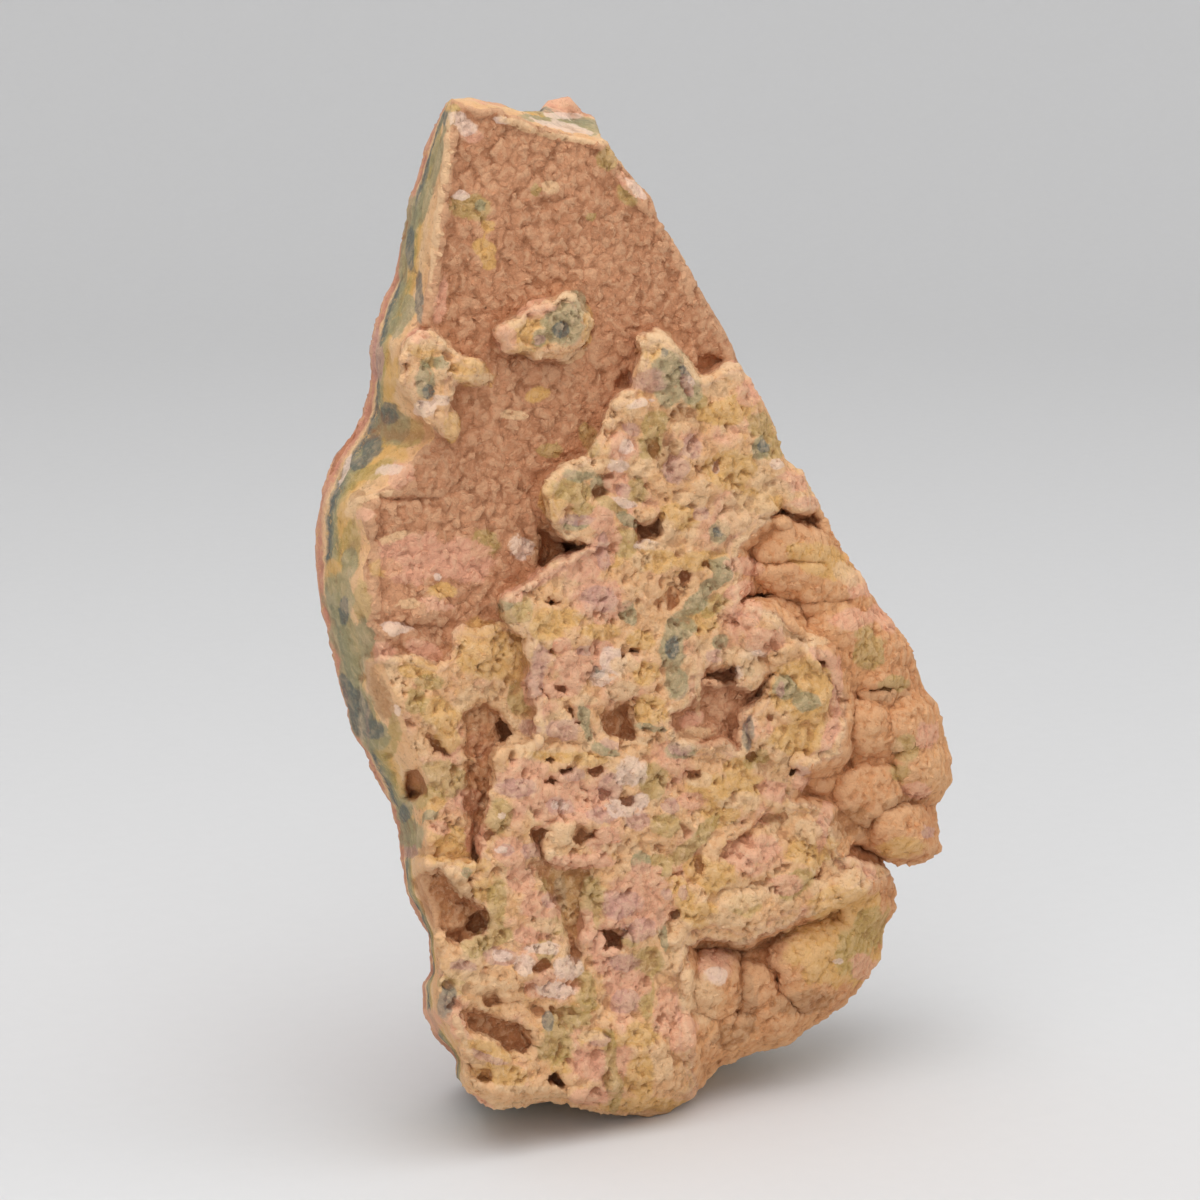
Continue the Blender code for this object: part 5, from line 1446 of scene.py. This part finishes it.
def crust_material(name, colours, sizes, crest_highlight_paint):
    """Salmon druse, broken cream, pink and ochre layers, banded sides, stains and a rose skin, with painted
    shade in creases, pits and hollows and a painted highlight on crests.
    """
    material = bpy.data.materials.new(name)
    material.use_nodes = True
    material.node_tree.nodes.clear()
    make = Maker(material.node_tree)
    place = make.named("rest", vector=True)
    groups = bpy.data.node_groups
    mottle = groups.get("mottle") or mottle_group()
    stain_and_painted_patch = groups.get("stain_and_painted_patch") or stain_group()
    scales = groups.get("druse_scales") or scales_group()

    def mottled(size, main, light, deep):
        inputs = {"Place": place, "Size": size, "Main": main, "Light": light, "Deep": deep}
        node = make.put("ShaderNodeGroup", node_tree=mottle)
        for key, value in inputs.items():
            if isinstance(value, bpy.types.NodeSocket):
                make.tree.links.new(value, node.inputs[key])
            else:
                node.inputs[key].default_value = value
        return node.outputs["Colour"]

    nubs = make.put("ShaderNodeGroup", node_tree=scales)
    make.tree.links.new(place, nubs.inputs["Place"])
    nubs.inputs["Size"].default_value = sizes.druse_size

    druse = mottled(0.013, colours.druse, colours.druse_light, colours.druse_deep)
    druse = make.blend(make.fit(nubs.outputs["Tint"], 0.30, 0.75, 0.0, 0.40), druse, colours.druse_light)
    # Painted shade: the low parts of the nubs darken towards the deep colour
    druse = make.blend(make.fit(nubs.outputs["Height"], -0.2, 0.6, 0.40, 0.0), druse, colours.druse_deep)
    # Painted shade in the creases between the nubs
    druse = make.blend(make.product(nubs.outputs["Crease"], 0.20), druse, colours.crack)
    flank = mottled(0.016, colours.lobe, colours.lobe_light, colours.druse)
    torn = mottled(0.006, colours.torn, colours.cream, colours.ochre)
    rosy = mottled(0.009, colours.pink, colours.torn, colours.druse)
    blotch = make.noise(place, 0.011, 4.0, 0.6)[0]
    torn = make.blend(make.fit(blotch, 0.50, 0.62, 0.0, 0.75), torn, rosy)
    skin = mottled(0.012, colours.skin, colours.pink, colours.druse)

    sway = make.math("SUBTRACT", make.noise(place, 0.005, 5.0, 0.62)[0], 0.5)
    strand = make.total(make.named("band"), make.product(sway, 0.30))
    ramp = make.put("ShaderNodeValToRGB", {"Fac": strand})
    stops = (
        (0.10, colours.skin), (0.17, colours.cream), (0.24, colours.blue), (0.38, colours.grey),
        (0.54, colours.olive), (0.64, colours.ochre), (0.74, colours.cream), (0.96, colours.torn),
    )
    for position, colour in stops[1:-1]:
        ramp.color_ramp.elements.new(position)
    for element, (position, colour) in zip(ramp.color_ramp.elements, stops):
        element.position = position
        element.color = colour
    specks = make.noise(place, 0.0013, 4.0, 0.7)[0]
    banded = make.blend(make.fit(specks, 0.52, 0.72, 0.0, 0.7), ramp.outputs[0], colours.ochre)
    banded = make.blend(make.fit(specks, 0.28, 0.42, 0.65, 0.0), banded, colours.crack)

    colour = make.blend(make.fit(make.named("lobed"), 0.3, 0.7), druse, flank)
    edge = make.total(make.named("torn"), make.product(make.math("SUBTRACT", specks, 0.5), 0.5))
    colour = make.blend(make.fit(edge, 0.35, 0.6), colour, torn)
    colour = make.blend(make.fit(make.named("side"), 0.35, 0.65), colour, banded)
    colour = make.blend(make.fit(make.named("skin"), 0.3, 0.7), colour, skin)

    # Mineral patches, among them painted shadow strips in brown and painted glints in white
    for kind in KINDS:
        node = make.put("ShaderNodeGroup", node_tree=stain_and_painted_patch)
        links = {"Place": place, "Cover": make.named(kind), "Below": colour}
        for key, value in links.items():
            make.tree.links.new(value, node.inputs[key])
        node.inputs["Ragged"].default_value = STAIN_RAGGED[kind]
        node.inputs["Strength"].default_value = STAIN_STRENGTH[kind]
        node.inputs["Stain"].default_value = getattr(colours, kind)
        colour = node.outputs["Colour"]

    rim = make.total(make.named("rim"), make.product(sway, 7.0))
    lip = make.product(make.fit(rim, -1.0, 1.5), make.fit(rim, 3.0, 7.0, 1.0, 0.0))
    colour = make.blend(make.product(lip, make.fit(specks, 0.35, 0.65, 0.08, 0.40)), colour, colours.pale)
    line = make.product(make.fit(rim, 6.5, 8.0), make.fit(rim, 9.0, 10.5, 1.0, 0.0))
    colour = make.blend(make.product(line, 0.22), colour, colours.lilac)
    # Painted shade: pockets and holes darken with their depth
    pit = make.fit(make.named("pit"), 0.15, 0.85, 0.0, 0.60)
    colour = make.blend(pit, colour, colours.pocket)

    fine = make.named("hollow_fine")
    wide = make.named("hollow_wide")
    # Painted shade: fine hollows darken towards the crease colour
    colour = make.blend(make.fit(fine, 0.03, 0.20, 0.0, 0.26), colour, colours.crack)
    # Painted shade: wide hollows darken towards the pocket colour
    colour = make.blend(make.fit(wide, 0.10, 1.0, 0.0, 0.30), colour, colours.pocket)
    # Painted highlight: crests and ridges lighten towards the pale colour
    painted_crest_highlight = make.total(make.fit(fine, -0.16, -0.02, crest_highlight_paint, 0.0), make.fit(wide, -0.9, -0.2, 0.06, 0.0))
    colour = make.blend(painted_crest_highlight, colour, colours.pale)
    grains = make.noise(place, 0.0013, 5.0, 0.68)[0]
    rocky = make.total(make.product(make.named("torn"), 0.65), 0.35)
    colour = make.blend(make.product(make.fit(grains, 0.28, 0.45, 0.45, 0.0), rocky), colour, colours.pocket)
    colour = make.blend(make.product(make.fit(grains, 0.53, 0.70, 0.0, 0.45), rocky), colour, colours.pale)
    dust = make.noise(place, 0.0004, 3.0, 0.7)[0]
    colour = make.blend(make.fit(dust, 0.54, 0.72, 0.0, 0.22), colour, colours.pale)
    colour = make.blend(make.fit(dust, 0.28, 0.44, 0.30, 0.0), colour, colours.crack)

    grit = make.noise(place, 0.0010, 6.0, 0.66)[0]
    crumbly = make.dome(make.cells(place, 0.0009).outputs["Distance"])
    height = make.total(
        make.product(grit, 0.60),
        make.product(nubs.outputs["Crease"], -0.10),
        make.product(grains, rocky, 0.50),
        make.product(crumbly, rocky, 0.12),
    )
    rough = make.fit(grit, 0.3, 0.7, 0.95, 0.72)
    bump = make.put("ShaderNodeBump", {"Height": height, "Distance": 0.001, "Strength": 0.8})
    shader = make.put(
        "ShaderNodeBsdfPrincipled",
        {"Base Color": colour, "Roughness": rough, "Normal": bump.outputs[0], "Specular IOR Level": 0.35},
    )
    make.put("ShaderNodeOutputMaterial", {"Surface": shader.outputs[0]})
    return material


def floor_material(colour):
    """Pale matt paper with a barely seen tooth."""
    material = bpy.data.materials.new("pale_paper")
    material.use_nodes = True
    material.node_tree.nodes.clear()
    make = Maker(material.node_tree)
    place = make.put("ShaderNodeTexCoord").outputs["Object"]
    tooth = make.noise(place, 0.004, 4.0)[0]
    shade = make.blend(make.fit(tooth, 0.3, 0.7, 0.0, 0.02), colour, (0.5, 0.5, 0.5, 1.0))
    shader = make.put(
        "ShaderNodeBsdfPrincipled",
        {"Base Color": shade, "Roughness": make.fit(tooth, 0.3, 0.7, 0.85, 0.95)},
    )
    make.put("ShaderNodeOutputMaterial", {"Surface": shader.outputs[0]})
    return material


def dish_floor(stage):
    """A round floor that turns up into a low wall far behind the stone on every side."""
    rings = [(0.0, 0.0)]
    for step in range(1, DISH_STEPS + 1):
        rings.append((stage.floor_radius * step / DISH_STEPS, 0.0))
    for step in range(1, DISH_STEPS + 1):
        turn = 0.5 * math.pi * step / DISH_STEPS
        out = stage.floor_radius + stage.wall_turn * math.sin(turn)
        rings.append((out, stage.wall_turn * (1.0 - math.cos(turn))))
    rings.append((stage.floor_radius + stage.wall_turn, stage.wall_height))
    work = bmesh.new()
    middle = work.verts.new((0.0, 0.0, 0.0))
    last = None
    for radius, height in rings[1:]:
        ring = []
        for spoke in range(DISH_SPOKES):
            angle = math.tau * spoke / DISH_SPOKES
            ring.append(work.verts.new((radius * math.cos(angle), radius * math.sin(angle), height)))
        for spoke in range(DISH_SPOKES):
            after = (spoke + 1) % DISH_SPOKES
            if last is None:
                work.faces.new((middle, ring[spoke], ring[after]))
            else:
                work.faces.new((last[spoke], ring[spoke], ring[after], last[after]))
        last = ring
    mesh = bpy.data.meshes.new("floor")
    work.to_mesh(mesh)
    work.free()
    mesh.shade_smooth()
    mesh.materials.append(floor_material(stage.floor_colour))
    floor = bpy.data.objects.new("floor", mesh)
    bpy.context.scene.collection.objects.link(floor)


def aimed(item, place_at, aim):
    """Put a light or a camera at a place and turn it to its aim."""
    item.location = place_at
    item.rotation_mode = "QUATERNION"
    item.rotation_quaternion = (Vector(place_at) - Vector(aim)).to_track_quat("Z", "Y")


def soft_light(name, place_at, size, power):
    """A large square light that faces the stone."""
    data = bpy.data.lights.new(name, "AREA")
    data.shape = "SQUARE"
    data.size = size
    data.energy = power
    light = bpy.data.objects.new(name, data)
    bpy.context.scene.collection.objects.link(light)
    aimed(light, place_at, (0.0, 0.0, 0.08))


def build_stage(stage):
    """Floor, lights, the grey surroundings and the camera of the sight lines."""
    dish_floor(stage)
    for name, place_at, size, power in LIGHTS:
        soft_light(name, place_at, size, power * stage.light_gain)
    world = bpy.data.worlds.new("grey_room")
    world.use_nodes = True
    background = world.node_tree.nodes["Background"]
    background.inputs["Color"].default_value = stage.room_colour
    background.inputs["Strength"].default_value = stage.room_strength
    bpy.context.scene.world = world
    data = bpy.data.cameras.new("photo_camera")
    data.sensor_width = SENSOR_WIDTH
    data.lens = SENSOR_WIDTH * SIGHT_DISTANCE / (PICTURE_WIDTH * PIXEL)
    camera = bpy.data.objects.new("photo_camera", data)
    bpy.context.scene.collection.objects.link(camera)
    turn = Matrix((RIGHT, UP, BACK)).transposed()
    camera.matrix_world = Matrix.Translation(AIM_POINT + BACK * SIGHT_DISTANCE) @ turn.to_4x4()
    bpy.context.scene.camera = camera
    bpy.context.scene.view_settings.view_transform = "Standard"


def colour_property(name, description, colour):
    """A colour that a user may change."""
    return bpy.props.FloatVectorProperty(
        name=name, description=description, default=colour, size=4, min=0.0, max=1.0, subtype="COLOR"
    )


def size_property(name, description, size):
    """A length that a user may change."""
    return bpy.props.FloatProperty(
        name=name, description=description, default=size, min=0.0, precision=5, unit="LENGTH"
    )


class CrustSizes(bpy.types.PropertyGroup):
    """Sizes of the crust's skin, weathering and small growths."""

    voxel: size_property("Skin Voxel", "Finest step of the crust's even skin", 0.0004)
    triangles: bpy.props.IntProperty(
        name="Triangles", description="Most triangles of the crust", default=194000, min=20000
    )
    druse_size: size_property("Druse Size", "Width of a nub of the druse", 0.0023)
    druse_rise: size_property("Druse Rise", "Height of the druse's nubs", 0.00055)
    torn_size: size_property("Torn Size", "Width of the lumps of the broken layers", 0.0048)
    torn_rise: size_property("Torn Rise", "Height of the lumps of the broken layers", 0.0015)
    lobe_size: size_property("Lobe Size", "Width of the swells on the lobes", 0.0075)
    lobe_rise: size_property("Lobe Rise", "Height of the swells on the lobes", 0.0009)
    side_size: size_property("Side Size", "Width of the lumps of the broken sides", 0.0040)
    side_rise: size_property("Side Rise", "Height of the lumps of the broken sides", 0.0007)
    skin_size: size_property("Skin Size", "Width of the lumps of the skin behind", 0.0052)
    skin_rise: size_property("Skin Rise", "Height of the lumps of the skin behind", 0.0007)
    nub_spacing: size_property("Nub Spacing", "Least distance between nubs on the druse", 0.00125)
    nub_small: size_property("Smallest Nub", "Half width of the smallest nub", 0.00045)
    nub_large: size_property("Largest Nub", "Half width of the largest nub", 0.00105)
    crumb_spacing: size_property("Crumb Spacing", "Least distance between crumbs", 0.0016)
    crumb_small: size_property("Smallest Crumb", "Half width of the smallest crumb", 0.00025)
    crumb_large: size_property("Largest Crumb", "Half width of the largest crumb", 0.0007)


class CrustColours(bpy.types.PropertyGroup):
    """Colours of the crust's minerals, and of its painted shade and highlights."""

    druse: colour_property("Druse", "Salmon brown druse", srgb(196, 136, 98))
    druse_light: colour_property("Druse Light", "Tips of the druse", srgb(214, 154, 114))
    # Dark mottle of the druse, and the painted shade on the low parts of its nubs
    druse_deep: colour_property("Druse Deep", "Lower parts of the druse", srgb(166, 106, 70))
    # Painted shade in creases and fine hollows, and the colour of dark specks
    crack: colour_property("Crack", "Dark creases", srgb(112, 68, 40))
    torn: colour_property("Torn", "Broken layers", srgb(230, 176, 126))
    lobe: colour_property("Lobe", "Lobed flank", srgb(214, 150, 100))
    lobe_light: colour_property("Lobe Light", "Lighter parts of the lobes", srgb(224, 166, 114))
    skin: colour_property("Skin", "Rose skin behind", srgb(206, 142, 116))
    # Pale rims and dust, and the painted highlight on crests
    pale: colour_property("Pale", "Pale rims and dust", srgb(240, 206, 166))
    # Painted shade in pockets, holes and wide hollows, and the colour of dark grains
    pocket: colour_property("Pocket", "Inside of pockets", srgb(190, 122, 76))
    # Brown stains, and three painted shadow strips under ledges
    brown: colour_property("Brown", "Brown stains", srgb(158, 108, 66))
    ochre: colour_property("Ochre", "Smooth yellow ochre", srgb(222, 172, 100))
    olive: colour_property("Olive", "Olive stains", srgb(180, 152, 88))
    grey: colour_property("Grey Green", "Grey-green bands", srgb(156, 148, 112))
    blue: colour_property("Blue Grey", "Blue-grey bands", srgb(96, 102, 98))
    pink: colour_property("Pink", "Pink layers", srgb(232, 168, 138))
    lilac: colour_property("Lilac", "Lilac layers", srgb(202, 154, 140))
    # Pinkish white layers, and two small painted glints
    white: colour_property("White", "Pinkish white", srgb(242, 212, 192))
    cream: colour_property("Cream", "Cream layers", srgb(234, 192, 146))


class StageSettings(bpy.types.PropertyGroup):
    """Floor, light and surroundings."""

    floor_radius: size_property("Floor Radius", "Flat part of the floor", 0.95)
    wall_turn: size_property("Wall Turn", "Radius of the turn into the wall", 0.65)
    wall_height: size_property("Wall Height", "Height of the wall", 1.5)
    floor_colour: colour_property("Floor", "Pale paper", (0.71, 0.71, 0.715, 1.0))
    room_colour: colour_property("Room", "Grey surroundings", (0.93, 0.928, 0.918, 1.0))
    room_strength: bpy.props.FloatProperty(
        name="Room Light", description="Strength of the surroundings", default=0.70, min=0.0
    )
    light_gain: bpy.props.FloatProperty(
        name="Light Gain", description="Strength of the lights", default=1.0, min=0.0, subtype="FACTOR"
    )


class CRUST_OT_body(bpy.types.Operator):
    """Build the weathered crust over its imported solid"""

    bl_idname = "crust.body"
    bl_label = "Build Crust"

    def execute(self, context):
        scene = context.scene
        # 0.18 is the strength of the painted highlight on crests
        material = crust_material("crust_minerals_and_painted_light", scene.crust_colours, scene.crust_sizes, 0.18)
        build_crust(scene.crust_sizes, material)
        return {"FINISHED"}


class CRUST_OT_druse(bpy.types.Operator):
    """Grow the small crystals of the druse on the crust"""

    bl_idname = "crust.druse"
    bl_label = "Grow Druse"

    def execute(self, context):
        scene = context.scene
        sizes = scene.crust_sizes
        crust = bpy.data.objects["crust"]
        tree = scatter_tree("druse_growth", "growth", 0.5, 0.9)
        values = {
            "Spacing": sizes.nub_spacing, "Smallest": sizes.nub_small, "Largest": sizes.nub_large,
            "Sink": NUB_SINK * sizes.nub_large, "Seed": 3,
            "Material": bpy.data.materials["crust_minerals_and_painted_light"],
        }
        grow("druse_crystals", crust, tree, nub_shapes(6, 14, 0.55, 11), values)
        return {"FINISHED"}


class CRUST_OT_crumbs(bpy.types.Operator):
    """Scatter the loose-looking crumbs that cling to the broken layers"""

    bl_idname = "crust.crumbs"
    bl_label = "Scatter Crumbs"

    def execute(self, context):
        scene = context.scene
        sizes = scene.crust_sizes
        crust = bpy.data.objects["crust"]
        tree = scatter_tree("crumb_growth", "torn", 0.3, 0.9)
        values = {
            "Spacing": sizes.crumb_spacing, "Smallest": sizes.crumb_small, "Largest": sizes.crumb_large,
            "Sink": CRUMB_SINK * sizes.crumb_large, "Seed": 5,
            "Material": bpy.data.materials["crust_minerals_and_painted_light"],
        }
        grow("crumbs", crust, tree, nub_shapes(5, 12, 0.7, 17), values)
        return {"FINISHED"}


class CRUST_OT_stage(bpy.types.Operator):
    """Set up the pale floor, the soft lights and the camera"""

    bl_idname = "crust.stage"
    bl_label = "Set Stage"

    def execute(self, context):
        build_stage(context.scene.crust_stage)
        return {"FINISHED"}


class CRUST_PT_panel(bpy.types.Panel):
    """Lists the steps that build the specimen"""

    bl_idname = "CRUST_PT_panel"
    bl_label = "Rhodochrosite Crust"
    bl_space_type = "VIEW_3D"
    bl_region_type = "UI"
    bl_category = "Crust"

    def draw(self, context):
        layout = self.layout
        for operator in OPERATORS:
            layout.operator(operator.bl_idname)
        for group in (context.scene.crust_sizes, context.scene.crust_colours, context.scene.crust_stage):
            box = layout.box()
            for name in group.__annotations__:
                box.prop(group, name)


OPERATORS = (CRUST_OT_body, CRUST_OT_druse, CRUST_OT_crumbs, CRUST_OT_stage)
GROUPS = (CrustSizes, CrustColours, StageSettings)


def register():
    """Register the classes and hang their settings on the scene."""
    for item in (*GROUPS, *OPERATORS, CRUST_PT_panel):
        bpy.utils.register_class(item)
    bpy.types.Scene.crust_sizes = bpy.props.PointerProperty(type=CrustSizes)
    bpy.types.Scene.crust_colours = bpy.props.PointerProperty(type=CrustColours)
    bpy.types.Scene.crust_stage = bpy.props.PointerProperty(type=StageSettings)


def unregister():
    """Take the settings and the classes away again."""
    del bpy.types.Scene.crust_stage
    del bpy.types.Scene.crust_colours
    del bpy.types.Scene.crust_sizes
    for item in reversed((*GROUPS, *OPERATORS, CRUST_PT_panel)):
        bpy.utils.unregister_class(item)


def main():
    """Build the specimen and its stage."""
    register()
    bpy.ops.crust.body()
    bpy.ops.crust.druse()
    bpy.ops.crust.crumbs()
    bpy.ops.crust.stage()
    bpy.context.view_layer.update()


if __name__ == "__main__":
    main()
